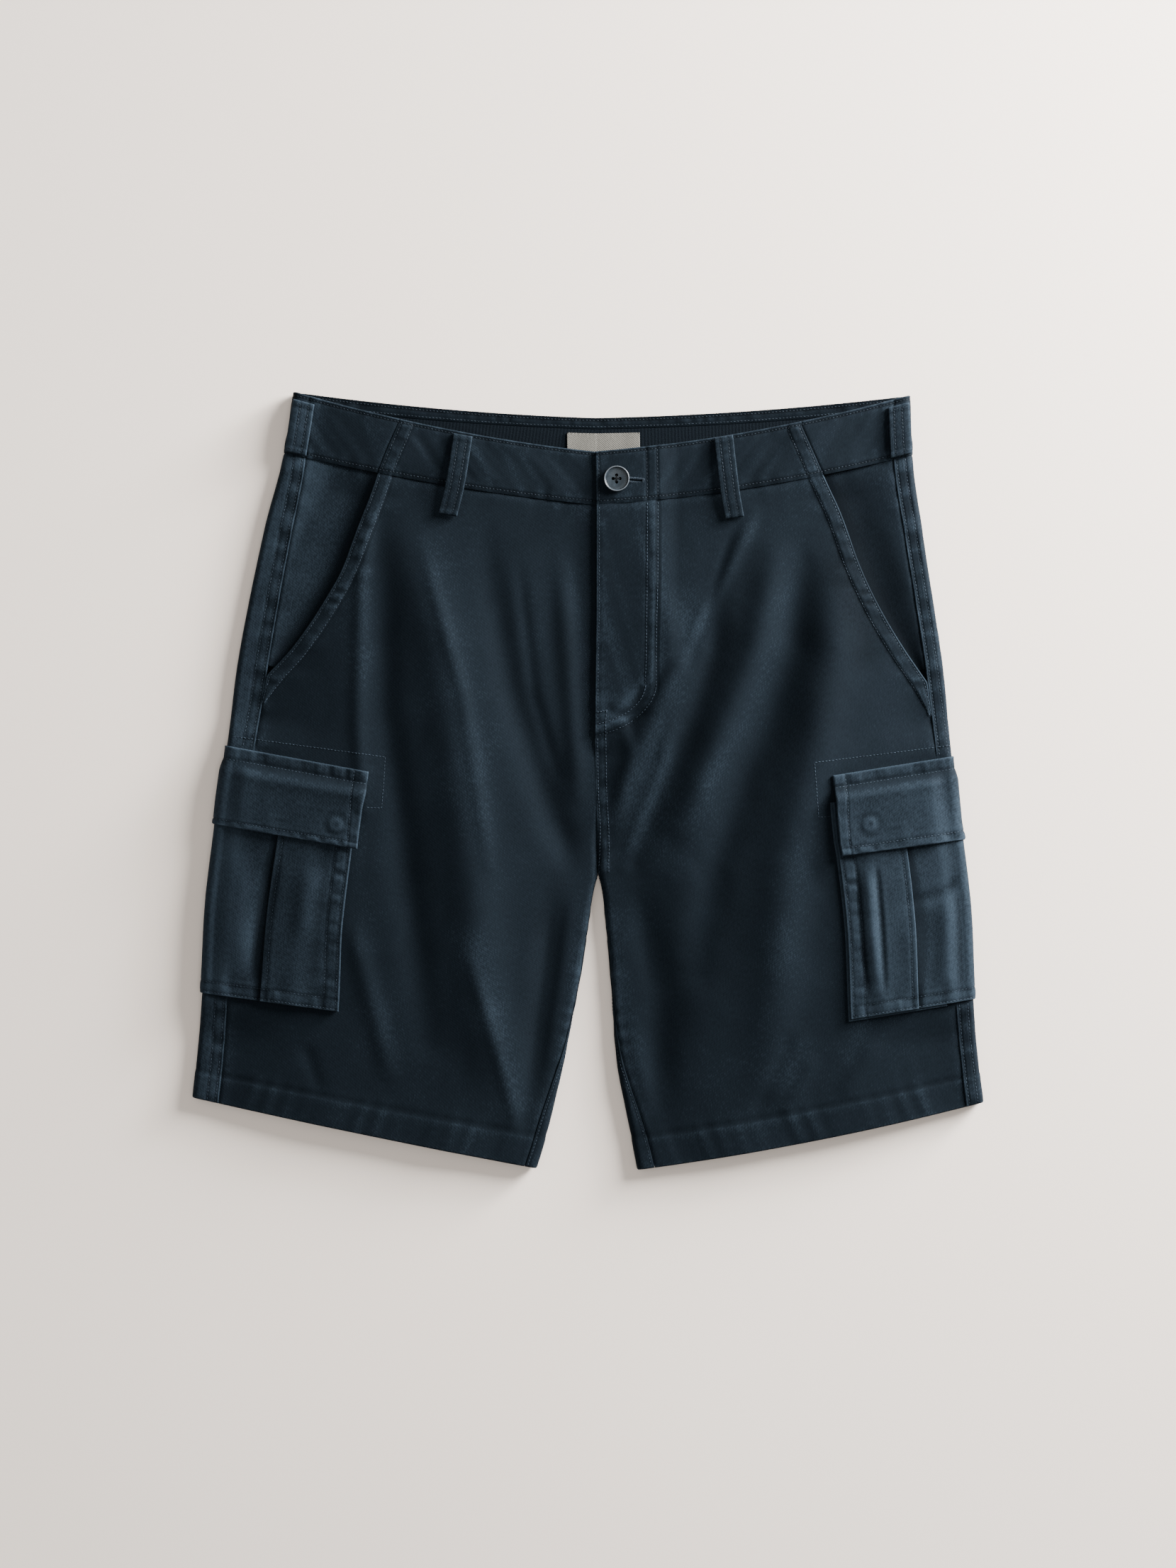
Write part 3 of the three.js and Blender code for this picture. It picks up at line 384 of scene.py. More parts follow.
def place(side, down, round_, out):
    """Points on the cloth of one side, out from the inside of its panels; arrays of one shape."""
    down, round_, out = np.broadcast_arrays(*(np.asarray(v, float) for v in (down, round_, out)))
    cut = section(side, down)
    over = -round_ - cut["back"]["length"]
    front = (round_ >= 0) | (over > 0)
    way = np.where(over > 0, cut["front"]["length"] - over, np.abs(round_))
    sign = np.where(front, 1, -1)
    turn, width, flat, length = (
        np.where(front, cut["front"][k], cut["back"][k]) for k in ("turn", "width", "flat", "length")
    )
    past = way - QUARTER - flat
    bend = np.where((past > 0) & (turn > 0), past / FOLD, 0)
    inward = np.where(bend > 0, width + FOLD * (np.sin(bend) - np.sin(turn)), FOLD + way - QUARTER)
    shoulder = np.minimum(inward, FOLD + flat)
    slope = height(cut, front, shoulder + 0.5) - height(cut, front, shoulder - 0.5)
    base = height(cut, front, np.where(bend > 0, FOLD + flat, inward))
    up = base - sign * FOLD * (1 - np.cos(bend))
    tilt = np.where(bend > 0, bend, -np.arctan(slope) * sign)
    tilt = np.where((way > length) & (turn == 0), 0, tilt)
    corner = way < QUARTER
    bent = way / FOLD - math.pi / 2
    inward = np.where(corner, FOLD + FOLD * np.sin(bent), inward)
    fold_top = height(cut, front, np.full(np.shape(way), float(FOLD)))
    up = np.where(corner, fold_top - sign * FOLD * (1 - np.cos(bent)), up)
    tilt = np.where(corner, bent, tilt)
    x, y = plan(cut, front, inward)
    aside = np.sin(tilt) * out
    x = x + cut["ax"] * aside - CENTRE[0]
    y = y + cut["ay"] * aside - CENTRE[1]
    return np.stack((x, y, up + sign * np.cos(tilt) * out), axis=-1)


def locate(side, x, y):
    """The place on the front at a plan position: (down, round)."""
    down, inward = 200.0, 100.0
    here = lambda d, w: np.array(plan(section(side, np.float64(d)), True, w))
    for _ in range(30):
        p = here(down, inward)
        a, b = (here(down + 0.5, inward) - p) * 2, (here(down, inward + 0.5) - p) * 2
        det = a[0] * b[1] - a[1] * b[0]
        rx, ry = x - p[0], y - p[1]
        down = min(max(down + (rx * b[1] - ry * b[0]) / det, 0), DOWN["hem_edge"])
        inward += (a[0] * ry - a[1] * rx) / det
    return down, inward - FOLD + QUARTER


def drawn(side, points):
    found = [locate(side, x, y) for x, y in points]
    return through([p[0] for p in found], [p[1] for p in found])


def seam_of(side, down):
    return LEGS[side]["seam"](down)


def centre_of(side, down):
    return section(side, down)["front"]["length"]


def back_of(side, down):
    return section(side, down)["back"]["length"]


def left_lap(down, round_):
    """How far the left front stands off the right one where they lap."""
    reach = mix(WAIST_LAP + 4, FLY["underlap"] + 4, smooth(down, FLY["straight"], FLY["foot"]))
    fade = 1 - smooth(centre_of("left", down) - round_, reach, reach + 18)
    return FLY["lift"] * fade * (1 - smooth(down, FLY["foot"] + 4, FLY["foot"] + 24))


def band_edges(side, points):
    """A pocket mouth's outer and inner edges, drawn on past the side seam."""
    sign = 1 if side == "right" else -1
    whole = np.array(points, float)
    run = whole[-1] - whole[-2]
    whole = np.vstack((whole, whole[-1] + run / np.hypot(*run) * 45))
    low, high = np.r_[whole[:1], whole[:-1]], np.r_[whole[1:], whole[-1:]]
    run = (high - low) / np.hypot(*(high - low).T)[:, None]
    inner = whole + sign * MOUTH_BAND * np.stack((-run[:, 1], run[:, 0]), axis=1)
    return drawn(side, whole), drawn(side, inner)


BANDS = {side: band_edges(side, MOUTH[side]) for side in SIDES}


def mouth_outer(side, down):
    return np.maximum(BANDS[side][0](down), seam_of(side, down) + GAP)


def mouth_inner(side, down):
    return np.maximum(BANDS[side][1](down), seam_of(side, down))


def where_clear(side, line, clear):
    """How far down a line last stands clear of the side seam."""
    down = np.linspace(DOWN["waist_seam"], DOWN["crotch"], 501)
    return down[line(side, down) > seam_of(side, down) + clear][-1]


mouth_foot = {side: where_clear(side, mouth_inner, 3 * GAP) for side in SIDES}
snap_place = {side: locate(side, *SNAPS[side]) for side in SIDES}


def gusset_room(round_):
    """The pocket stands off the leg by its bellows strip."""
    return (CLOTH + LAYER_GAP) * smooth(round_, QUARTER + 1, QUARTER + 14)


def pleat_at(side, down):
    """Where the pocket's pleat folds."""
    share = np.clip((down - DOWN["flap_top"]) / (DOWN["pocket_foot"] - DOWN["flap_top"]), 0, 1)
    return mix(CARGO[side]["pleat_top"], CARGO[side]["pleat_foot"], share)


# Relief in the cloth
def rim(d, radius=0.5):
    """The rounding of a cut or folded edge, d in from it."""
    t = np.clip(1 - np.maximum(d, 0) / radius, 0, 1)
    return -radius * (1 - np.sqrt(1 - 0.98 * t * t))


def line_of(d, wide):
    return np.exp(-((d / wide) ** 2))


def groove(d, deep=0.32, wide=0.9):
    """The line that a row of stitches pulls into the cloth."""
    return -deep * line_of(d, wide)


def grooves(d, rows):
    return sum(groove(d - row) for row in rows)


def pucker(s, d, seed, high=0.35, wide=6, pitch=5.5):
    """Small gathers across a row of stitches, fading away from it."""
    strength = 0.6 + 0.4 * wobble(s, pitch * 5, seed + 1)
    return high * strength * line_of(d, wide) * wobble(s, pitch, seed)


def ridges(s, d, low, high, seed, size=0.28, pitch=4):
    """Short ridges across a band that is stitched down along both its edges."""
    inside = smooth(d, low - 0.5, low + 1.5) * (1 - smooth(d, high - 1.5, high + 0.5))
    return 1.6 * size * inside * wobble(s, pitch, seed) * (0.7 + 0.3 * wobble(s, pitch * 6, seed + 1))


def crumple(down, round_, seed):
    """Faint unevenness of washed cloth."""
    slow = cloudy(round_ + 0.35 * down, down * 0.4, 24, seed)
    fast = cloudy(round_ + 0.2 * down, down * 0.6, 7, seed + 3)
    return 0.2 * slow + 0.05 * fast


def settled(relief, lying):
    """Cloth that lies on the surface keeps only the hollows of its relief."""
    return relief * (1 - lying) + np.minimum(relief, 0) * lying


def under_cargo(side, down, round_):
    """1 where a leg panel lies under the pocket or its flap."""
    reach = max(CARGO[side]["front"], CARGO[side]["flap"]) + 2
    rows = smooth(down, DOWN["flap_top"] - 6, DOWN["flap_top"] - 1)
    rows = rows * (1 - smooth(down, DOWN["pocket_foot"] + 1, DOWN["pocket_foot"] + 6))
    return rows * (1 - smooth(round_, reach, reach + 5)) * smooth(round_, -CARGO_BACK - 8, -CARGO_BACK - 3)


def band_depth(side, down, round_):
    """How far in from a pocket mouth's edge a place is, square to the edge."""
    outer, inner = mouth_outer(side, down), mouth_inner(side, down)
    return MOUTH_BAND * (round_ - outer) / np.maximum(inner - outer, 3)


def on_band(band):
    """1 on a pocket mouth's doubled edge, which ends just past its second row of stitches."""
    return 1 - smooth(band, MOUTH_ROWS[1] - 0.8, MOUTH_ROWS[1] + 1.2)


def hem_relief(down, round_, seed):
    """The hem: a turned-up strip with one row of stitches, waved by washing."""
    hem = DOWN["hem_edge"] - down
    waves = 0.26 * wobble(round_ + 0.3 * down, 6.5, seed) + 0.2 * wobble(round_ + 0.1 * down, 14, seed + 1)
    waves = waves * smooth(hem, -4, 5) * (1 - smooth(hem, 17, 28))
    turned_up = 0.25 * (1 - smooth(hem, HEM - 1.5, HEM + 0.5))
    return waves + groove(hem - HEM, 0.45, 1.0) + turned_up + rim(hem, 1.0)


def front_out(side, down, round_):
    """The outside of a front."""
    lap = left_lap(down, round_) if side == "left" else 0
    edge = centre_of(side, down) - round_
    band = band_depth(side, down, round_)
    has_band = 1 - smooth(down, mouth_foot[side] - 4, mouth_foot[side] + 1)
    below = down - DOWN["waist_seam"]
    out = CLOTH + lap + crumple(down, round_, 11 if side == "left" else 21)
    doubled = (DOUBLE - CLOTH) * on_band(band)
    mouth = doubled + rim(band, 0.9) + ridges(down, band, *MOUTH_ROWS, 31)
    mouth = mouth + grooves(band, MOUTH_ROWS)
    mouth = mouth + pucker(down, band - 12, 32, 0.35, 9, 8)
    beside_seam = round_ - seam_of(side, down)
    seam = pucker(down, beside_seam, 33, 0.35, 9, 8) - 0.55 * line_of(beside_seam, 1.5)
    out = out + mix(seam, mouth, has_band)
    out = out - 0.55 * line_of(below, 1.5) + pucker(round_, below, 34, 0.5, 12, 7)
    out = out + hem_relief(down, round_, 35)
    inner = edge - LEGS[side]["inseam"](down)
    leg = down > DOWN["crotch"]
    out = out + (pucker(down, inner, 37, 0.35, 8) - 0.5 * line_of(inner, 1.2)) * leg
    if side == "left":
        out = out + fly_relief(down, edge)
    return mix(out, CLOTH, 0.999 * under_cargo(side, down, round_))


def past_fly(down, edge):
    """How far outside the fly's outline a place is, below 0 inside it."""
    deep = FLY["end"] - FLY["turn"]
    low = np.maximum(down - FLY["turn"], 0)
    round_end = (np.hypot(edge / FLY["wide"], low / deep) - 1) * deep
    return np.where(low > 0, round_end, edge - FLY["wide"])


def fly_relief(down, edge):
    """The left front's edge at the centre: the fly above its foot, a stitched-down seam below."""
    above = 1 - smooth(down, FLY["end"] + 1, FLY["end"] + 5)
    past = past_fly(down, edge)
    fly = (DOUBLE - CLOTH) * (1 - smooth(past, -1.5, 1.5)) + rim(edge, 1.1)
    fly = fly + grooves(past, FLY_ROWS) + groove(edge - EDGE_ROW)
    fly = fly + ridges(down, -past, -FLY_ROWS[0], -FLY_ROWS[1], 39, 0.3, 5)
    fly = fly + pucker(down, edge, 40, 0.3, 8, 7)
    below = (1 - above) * (1 - smooth(down, DOWN["crotch"] - 6, DOWN["crotch"]))
    seam = grooves(edge, SEAM_ROWS) + rim(edge, 0.8)
    seam = seam + 0.3 * (1 - smooth(edge, 8, 10)) + ridges(down, edge, 1, 9, 41, 0.35, 5)
    return fly * above + (seam + pucker(down, edge - 8, 42, 0.4, 9, 8)) * below


def back_out(side, down, round_):
    seam = seam_of(side, down) - round_
    below = down - DOWN["waist_seam"]
    middle = back_of(side, down) + round_
    inner = middle + LEGS[side]["inseam"](down)
    lying = smooth(-round_, -1, QUARTER + 1) * smooth(middle, 0, 5)
    relief = crumple(down, round_, 51) + 0.3 * line_of(seam, 9)
    relief = relief + grooves(seam, SEAM_ROWS)
    relief = relief + ridges(down, seam, 0, 9, 53, 0.35, 5) + pucker(down, seam - 8, 54, 0.3, 8, 7)
    relief = relief - 0.5 * line_of(below, 1.5) + pucker(round_, below, 55, 0.4, 9, 7)
    relief = relief + hem_relief(down, round_, 57) + rim(seam + SHUT, 0.5)
    leg = down > DOWN["crotch"]
    inseam = rim(inner, 0.7) + groove(inner - SEAM_ROWS[0], 0.3) + pucker(down, inner - 3, 59, 0.35, 6)
    seat = grooves(middle, SEAM_ROWS) + rim(middle, 0.6)
    relief = relief + np.where(leg, inseam, seat)
    return CLOTH + settled(relief, lying) * (1 - under_cargo(side, down, round_))


def side_sink(side, down, round_):
    seam = seam_of(side, down)
    wide = mouth_outer(side, down) - seam
    opened = smooth(wide, MOUTH_CLEAR, 40) * smooth(down, DOWN["waist_seam"], DOWN["waist_seam"] + 20)
    return -mix(CLOTH + 2 * LAYER_GAP, MOUTH_DEPTH, opened) * smooth((round_ - seam) / wide, 0, 0.85)


def side_out(side, down, round_):
    seam, below = round_ - seam_of(side, down), down - DOWN["waist_seam"]
    relief = crumple(down, round_, 61) - 0.5 * line_of(seam, 1.4) - 0.5 * line_of(below, 1.5)
    relief = relief + pucker(down, seam, 62, 0.5, 9, 9) + pucker(round_, below, 63, 0.5, 12, 7)
    return side_sink(side, down, round_) + CLOTH + relief


def row_tone(down):
    """The waistband is painted darker along its two rows of stitches, as painted shade in their grooves, and faded
    at its top edge.
    """
    return 0.35 * line_of(down, 1.2) - 1.05 * sum(line_of(down - row, 0.9) for row in WAIST_ROWS)


def waist_tone(down, round_):
    """Its rows, and short light and dark streaks between and beside them: painted light and shade of the gathers
    that washing leaves.
    """
    pucker_light_and_shade = 0.35 * wobble(round_ - 0.6 * down, 7, 78) * smooth(down, 2, 12)
    beside = sum(line_of(down - row, 4.5) for row in WAIST_ROWS)
    return row_tone(down) + pucker_light_and_shade + 0.35 * wobble(round_, 3.2, 79) * beside


def flush(round_):
    """On the back, the waistband's extra thickness lies inside, so that it rests flat."""
    return -(DOUBLE - CLOTH) * smooth(-round_, 0, QUARTER)


def waist_out(side, down, round_):
    """The outside of the waistband, over all of its pieces."""
    seam, outer, inner = seam_of(side, down), mouth_outer(side, down), mouth_inner(side, down)
    lap = left_lap(down, round_) if side == "left" else 0
    above = DOWN["waist_seam"] - STAY - down
    relief = crumple(down, round_, 71) + rim(down, 1.0) - 0.5 * line_of(above, 1.2)
    relief = relief + grooves(down, WAIST_ROWS)
    relief = relief + pucker(round_, down - 3, 72, 0.3, 6, 6) + pucker(round_, above, 73, 0.4, 8, 6)
    relief = relief + 0.35 * wobble(round_ - down, 9, 74) * smooth(down, 2, 14) * smooth(above, 0, 12)
    band = MOUTH_BAND * (round_ - outer) / (inner - outer)
    raised = 0.3 * smooth(round_ - outer, -0.2, 0.2) * on_band(band)
    relief = relief + raised + grooves(band, MOUTH_ROWS)
    relief = relief + ridges(down, band, *MOUTH_ROWS, 75) - 0.45 * line_of(round_ - seam, 1.2)
    relief = relief - 0.35 * line_of(round_ - outer, 1)
    if side == "left":
        edge = centre_of(side, down) - round_
        relief = relief + rim(edge, 1.1) + groove(edge - EDGE_ROW)
        relief = relief + sum(groove(edge - FLY["wide"] - row, 0.45) for row in FLY_ROWS)
        relief = relief + pucker(down, edge - 10, 76, 0.3, 9, 8)
    return DOUBLE + lap + flush(round_) + settled(relief, smooth(-round_, 0, QUARTER))


def waist_inner(down, round_):
    """The inside of the back waistband, turned over and stitched down along the top."""
    strip = 1.3 * (1 - smooth(down, TURN - 0.8, TURN - 0.1)) * smooth(-round_, QUARTER + 1, QUARTER + 5)
    relief = grooves(down, TURN_ROWS) + ridges(round_, down, *TURN_ROWS, 81)
    return flush(round_) - strip - relief * smooth(-round_, QUARTER, QUARTER + 4)


def pocket_folds(side, down, round_):
    """Soft folds of the pocket."""
    x, y = plan(section(side, down), True, np.maximum(round_, 0) - QUARTER + FOLD)
    lift = np.zeros(np.shape(x))
    for high, wide, line in POCKET_FOLDS[side]:
        distance, share = along_line(line, x, y)
        ends = smooth(share, -0.05, 0.3) * (1 - smooth(share, 0.7, 1.05))
        lift = lift + high * line_of(distance, wide) * ends
    return lift * smooth(round_, QUARTER, QUARTER + 8)


def pocket_inner(round_):
    return CLOTH + LAYER_GAP + gusset_room(round_)


def pocket_out(side, down, round_):
    past = round_ - pleat_at(side, down)
    step = PLEAT_STEP * (past > 0.1) * (1 - smooth(past, CARGO_PLEAT - 4, CARGO_PLEAT + 12))
    front, foot = CARGO[side]["front"] - round_, DOWN["pocket_foot"] - down
    lying = smooth(-round_, -2, QUARTER)
    relief = crumple(down, round_, 91) + rim(front, 0.9) + rim(foot, 0.9)
    relief = relief + grooves(front, POCKET_ROWS)
    relief = relief + (grooves(foot, FOOT_ROWS)) * smooth(front, 0, 2)
    relief = relief + ridges(down, front, *POCKET_ROWS, 92, 0.3, 4.5)
    relief = relief + ridges(round_, foot, 0, 9, 93, 0.4, 4.5)
    relief = relief + pucker(round_, foot - 10, 94, 0.45, 10, 7) + pucker(down, front - 13, 95, 0.3, 8, 7)
    relief = relief + groove(past - PLEAT_ROW) + 0.9 * rim(past, 0.9) * (past > 0.1)
    relief = relief + pocket_folds(side, down, round_) * smooth(foot, 6, 20)
    return pocket_inner(round_) + CLOTH + step + settled(relief, lying)


def flap_inner(down, round_):
    pleated = PLEAT_STEP * smooth(round_, QUARTER + 1, QUARTER + 20)
    full = gusset_room(round_) + pleated + CLOTH + LAYER_GAP
    return CLOTH + LAYER_GAP + full * smooth(down, DOWN["flap_top"] + 7, POCKET_TOP - 1)


def flap_front_row(down):
    """The row of stitches along the flap's front edge, measured from that edge."""
    share = smooth(down, DOWN["flap_top"], DOWN["flap_foot"])
    return mix(FLAP_ROWS["front_top"], FLAP_ROWS["front_foot"], share)


def flap_out(side, down, round_):
    """The outside of a flap, with the round of its press stud."""
    front, top = CARGO[side]["flap"] - round_, down - DOWN["flap_top"]
    foot, lying = DOWN["flap_foot"] - down, smooth(-round_, 0, QUARTER)
    thick = mix(CLOTH, DOUBLE, smooth(round_, QUARTER, QUARTER + 14))
    relief = crumple(down, round_, 101) + rim(front, 1.0) + rim(top, 1.0) + rim(foot, 1.0)
    relief = relief + groove(top - FLAP_ROWS["top"]) + groove(foot - FLAP_ROWS["foot"])
    relief = relief + groove(front - flap_front_row(down))
    relief = relief + ridges(round_, top, 0.5, FLAP_ROWS["top"], 102, 0.35, 4)
    relief = relief + ridges(round_, foot, 0.5, FLAP_ROWS["foot"], 103, 0.3, 4.5)
    relief = relief + ridges(down, front, 0.5, 8, 104, 0.25, 5) + pucker(round_, foot - 8, 105, 0.3, 9, 8)
    down_snap, round_snap = snap_place[side]
    away = np.hypot(down - down_snap, round_ - round_snap)
    snap = SNAP["high"] * (1 - smooth(away, SNAP["radius"] * 0.45, SNAP["radius"]))
    snap = snap - 0.14 * line_of(away - SNAP["radius"] - 1.5, 2) - 0.1 * line_of(away, 2.2)
    return flap_inner(down, round_) + thick + settled(relief + snap, lying)


# Meshes
def spread(low, high, count, ends=(0, 0.12, 0.3, 0.6, 1.1, 1.8)):
    """Rows of steps from low to high, close together at both ends."""
    low, high = np.broadcast_arrays(np.atleast_1d(np.squeeze(low)), np.atleast_1d(np.squeeze(high)))
    ends = np.array(ends)
    room = np.abs(high - low)[:, None]
    scale = np.minimum(1, room / (2.6 * ends[-1])) * np.sign(high - low)[:, None]
    first = low[:, None] + ends * scale
    last = high[:, None] - ends[::-1] * scale
    t = np.linspace(0, 1, count + 2)[1:-1]
    return np.hstack((first, mix(first[:, -1:], last[:, :1], t), last))


def column(low, high, count, ends=(0, 0.12, 0.3, 0.6, 1.1, 1.8)):
    return spread(low, high, count, ends)[0][:, None]


def link(made, material):
    """Puts an object in the scene on the one body, with its material."""
    made.data.materials.append(material)
    bpy.context.scene.collection.objects.link(made)
    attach(made, "root")
    return made


def relief_fade_and_shade(out):
    """How far each place stands above its surroundings, from -1 to 1: cloth fades there first, and the tone also
    paints raised places lighter as painted highlight and hollows darker as painted shade.
    """
    padded = np.pad(out, 3, mode="edge")
    total = sum(padded[i : i + out.shape[0], j : j + out.shape[1]] for i in range(7) for j in range(7))
    return 0.55 * np.clip((out - total / 49) / 0.3, -1, 1)


# Pockets and flaps are painted lighter as painted light, more on the wearer's left, the side that faces the lamp.
CARGO_PAINTED_LIGHT = {"right": 0.5, "left": 0.75}


def side_fold_light_and_fade(side, round_):
    """The side fold is painted lighter: strongly on the wearer's right, as painted light against the shade the
    lamp leaves there, and faintly on the left as fading.
    """
    return (0.75 if side == "right" else 0.1) * (1 - smooth(round_, 6, 34)) * smooth(round_, -QUARTER - 4, 0)


def fold_fade_and_shade(side, down, round_):
    """Crests of the soft folds are painted lighter, part fading and part painted light, and the troughs between
    them darker as painted shade.
    """
    x, y = plan(section(side, down), True, round_ - QUARTER + FOLD)
    tone = np.zeros(np.shape(x))
    for strong, wide, line in SHADES:
        distance, share = along_line(line, x, y)
        ends = smooth(share, -0.02, 0.2) * (1 - smooth(share, 0.8, 1.02))
        tone = tone + 0.6 * strong * ends * line_of(distance, wide)
    return tone


def closed_faces(rows, columns, keep):
    """Faces of a closed piece between two grids of points, whose cells keep says are there."""
    index = np.arange(rows * columns).reshape(rows, columns)
    other = index + rows * columns
    corners = {
        (a, b): (slice(a, rows - 1 + a), slice(b, columns - 1 + b)) for a in (0, 1) for b in (0, 1)
    }
    quad = lambda *spots: np.stack([grid[corners[spot]] for grid, spot in spots], axis=-1)
    faces = [
        quad((index, (0, 0)), (index, (1, 0)), (index, (1, 1)), (index, (0, 1)))[keep],
        quad((other, (0, 0)), (other, (0, 1)), (other, (1, 1)), (other, (1, 0)))[keep],
    ]
    wide = np.pad(keep, 1)
    borders = (
        ((-1, 0), (0, 1), (0, 0)),
        ((1, 0), (1, 0), (1, 1)),
        ((0, -1), (0, 0), (1, 0)),
        ((0, 1), (1, 1), (0, 1)),
    )
    for (j, i), a, b in borders:
        beyond = keep & ~wide[1 + j : rows + j, 1 + i : columns + i]
        faces.append(quad((index, a), (other, a), (other, b), (index, b))[beyond])
    return np.concatenate(faces)


def sheet_mesh(name, top, under, uv, tone, material, keep):
    """A closed piece of cloth between two grids of points, rows by columns."""
    faces = closed_faces(*top.shape[:2], keep)
    points = np.concatenate((top.reshape(-1, 3), under.reshape(-1, 3))) * MM
    corner = points[faces[:, :3]]
    volume = np.einsum("ij,ij->i", corner[:, 0], np.cross(corner[:, 1], corner[:, 2])).sum()
    faces = faces[:, ::-1] if volume < 0 else faces
    used, faces = np.unique(faces, return_inverse=True)
    faces = faces.reshape(-1, 4)
    mesh = bpy.data.meshes.new(name)
    mesh.from_pydata(points[used].tolist(), [], faces.tolist())
    mesh.polygons.foreach_set("use_smooth", np.ones(len(faces), bool))
    coords = np.concatenate((uv.reshape(-1, 2),) * 2)[used] * MM
    mesh.uv_layers.new(name="Cloth").data.foreach_set("uv", coords[faces.ravel()].ravel().astype(np.float32))
    attribute = mesh.attributes.new("tone", "FLOAT", "POINT")
    attribute.data.foreach_set("value", np.concatenate((tone.ravel(),) * 2)[used].astype(np.float32))
    return link(bpy.data.objects.new(name, mesh), material)


def block(side, down, round_, inner, outer, wear_and_shade=0, face=None):
    """A stretch of cloth on one side: two grids of points, its weave's places and its tone, which holds wear and
    painted light and shade.
    """
    down, round_, inner, outer, wear_and_shade = np.broadcast_arrays(down, round_, inner, outer, wear_and_shade)
    tone = relief_fade_and_shade(outer if face is None else face) + wear_and_shade
    tone = tone + side_fold_light_and_fade(side, round_) if face is None else tone
    uv = np.stack((round_, down), axis=-1)
    return place(side, down, round_, outer), place(side, down, round_, inner), uv, tone


def cloth(name, *blocks, material=None, slot="twill", keep=None, flat=None, rests_on=(), replaces=()):
    """A piece of cloth from blocks that lie side by side; it stands for the solids it replaces."""
    top, under, uv, tone = (np.concatenate(parts, axis=1) for parts in zip(*blocks))
    keep = np.ones((top.shape[0] - 1, top.shape[1] - 1), bool) if keep is None else keep
    made = sheet_mesh(name, top, under, uv, tone, material or TWILL, keep)
    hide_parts(*replaces)
    across = np.linalg.norm(np.diff(top, axis=1), axis=-1).sum(1).max() * MM
    along = np.linalg.norm(np.diff(top, axis=0), axis=-1).sum(0).max() * MM
    across, along = flat or (across, along)
    return made


# Materials
class Shader:
    """A material's node tree, with short ways to add and join nodes."""

    def __init__(self, name, roughness, **sockets):
        self.material = bpy.data.materials.new(name)
        self.material.use_nodes = True
        self.tree = self.material.node_tree
        self.surface = self.tree.nodes["Principled BSDF"]
        self.surface.inputs["Roughness"].default_value = roughness
        for key, value in sockets.items():
            self.surface.inputs[key.replace("_", " ")].default_value = value

    def add(self, kind, links=(), **values):
        node = self.tree.nodes.new("ShaderNode" + kind)
        for key, value in values.items():
            if key in node.inputs.keys():
                node.inputs[key].default_value = value
            else:
                setattr(node, key, value)
        for key, source in dict(links).items():
            self.tree.links.new(source, node.inputs[key])
        return node

    def join(self, output, socket):
        self.tree.links.new(output, self.surface.inputs[socket])

    def maths(self, operation, *values):
        node = self.tree.nodes.new("ShaderNodeMath")
        node.operation = operation
        for socket, value in zip(node.inputs, values):
            if hasattr(value, "is_output"):
                self.tree.links.new(value, socket)
            else:
                socket.default_value = value
        return node.outputs[0]

    def ramp(self, factor, stops):
        node = self.add("ValToRGB", {"Fac": factor})
        for k, (at, colour) in enumerate(stops):
            stop = node.color_ramp.elements[k] if k < 2 else node.color_ramp.elements.new(at)
            stop.position = at
            stop.color = (*colour, 1)
        return node.outputs["Color"]

    def noise(self, scale, detail=3, links=()):
        return self.add("TexNoise", links, Scale=scale, Detail=detail).outputs["Fac"]


# The ramp of the twill: fading and painted light lift the cloth toward its lightest colour, and painted shade
# pulls it toward its darkest.
NAVY_DARK = (0.0018, 0.0027, 0.0038)
NAVY = (0.0050, 0.0075, 0.0104)
NAVY_WORN_AND_LIT = (0.0300, 0.0440, 0.0600)
THREAD_BLUE = (0.020, 0.029, 0.040)


def twill():
    """Washed cotton twill: fine slanting ribs, a heathered colour, and a tone that lightens it with fading and
    painted light and darkens it with painted shade.
    """
    shader = Shader("navy_twill", 0.7, Sheen_Weight=0.03, Sheen_Roughness=0.4, Specular_IOR_Level=0.03)
    shader.surface.inputs["Sheen Tint"].default_value = (0.55, 0.75, 1, 1)
    shader.surface.inputs["Specular Tint"].default_value = (0.7, 0.86, 1, 1)
    place_ = shader.add("TexCoord").outputs["Object"]
    weave = shader.add("UVMap", uv_map="Cloth").outputs["UV"]
    slanted = shader.add("Mapping", {"Vector": weave}, Rotation=(0, 0, math.radians(63))).outputs["Vector"]
    ribs = shader.add("TexWave", {"Vector": slanted}, Scale=210, Distortion=0.6, Detail=1).outputs["Fac"]
    drawn_out = shader.add("Mapping", {"Vector": weave}, Scale=(1, 0.35, 1)).outputs["Vector"]
    slubs = shader.noise(1000, 2, {"Vector": drawn_out})
    clouds = shader.noise(26, 4, {"Vector": place_})
    tone = shader.add("Attribute", attribute_name="tone").outputs["Fac"]
    worn_and_shaded = shader.maths("MULTIPLY_ADD", tone, 0.22, 0.295)
    grain = shader.maths("MULTIPLY", shader.maths("SUBTRACT", slubs, 0.5), 0.38)
    cloud = shader.maths("MULTIPLY", shader.maths("SUBTRACT", clouds, 0.5), 0.26)
    rib = shader.maths("MULTIPLY", shader.maths("SUBTRACT", ribs, 0.5), 0.05)
    total = shader.maths("ADD", shader.maths("ADD", worn_and_shaded, grain), shader.maths("ADD", cloud, rib))
    colour = shader.ramp(total, ((0.0, NAVY_DARK), (1.0, NAVY_WORN_AND_LIT), (0.35, NAVY)))
    shader.join(colour, "Base Color")
    relief = shader.maths("ADD", shader.maths("MULTIPLY", ribs, 0.35), slubs)
    bump = shader.add("Bump", {"Height": relief}, Strength=0.2, Distance=0.0002)
    shader.join(bump.outputs["Normal"], "Normal")
    return shader.material


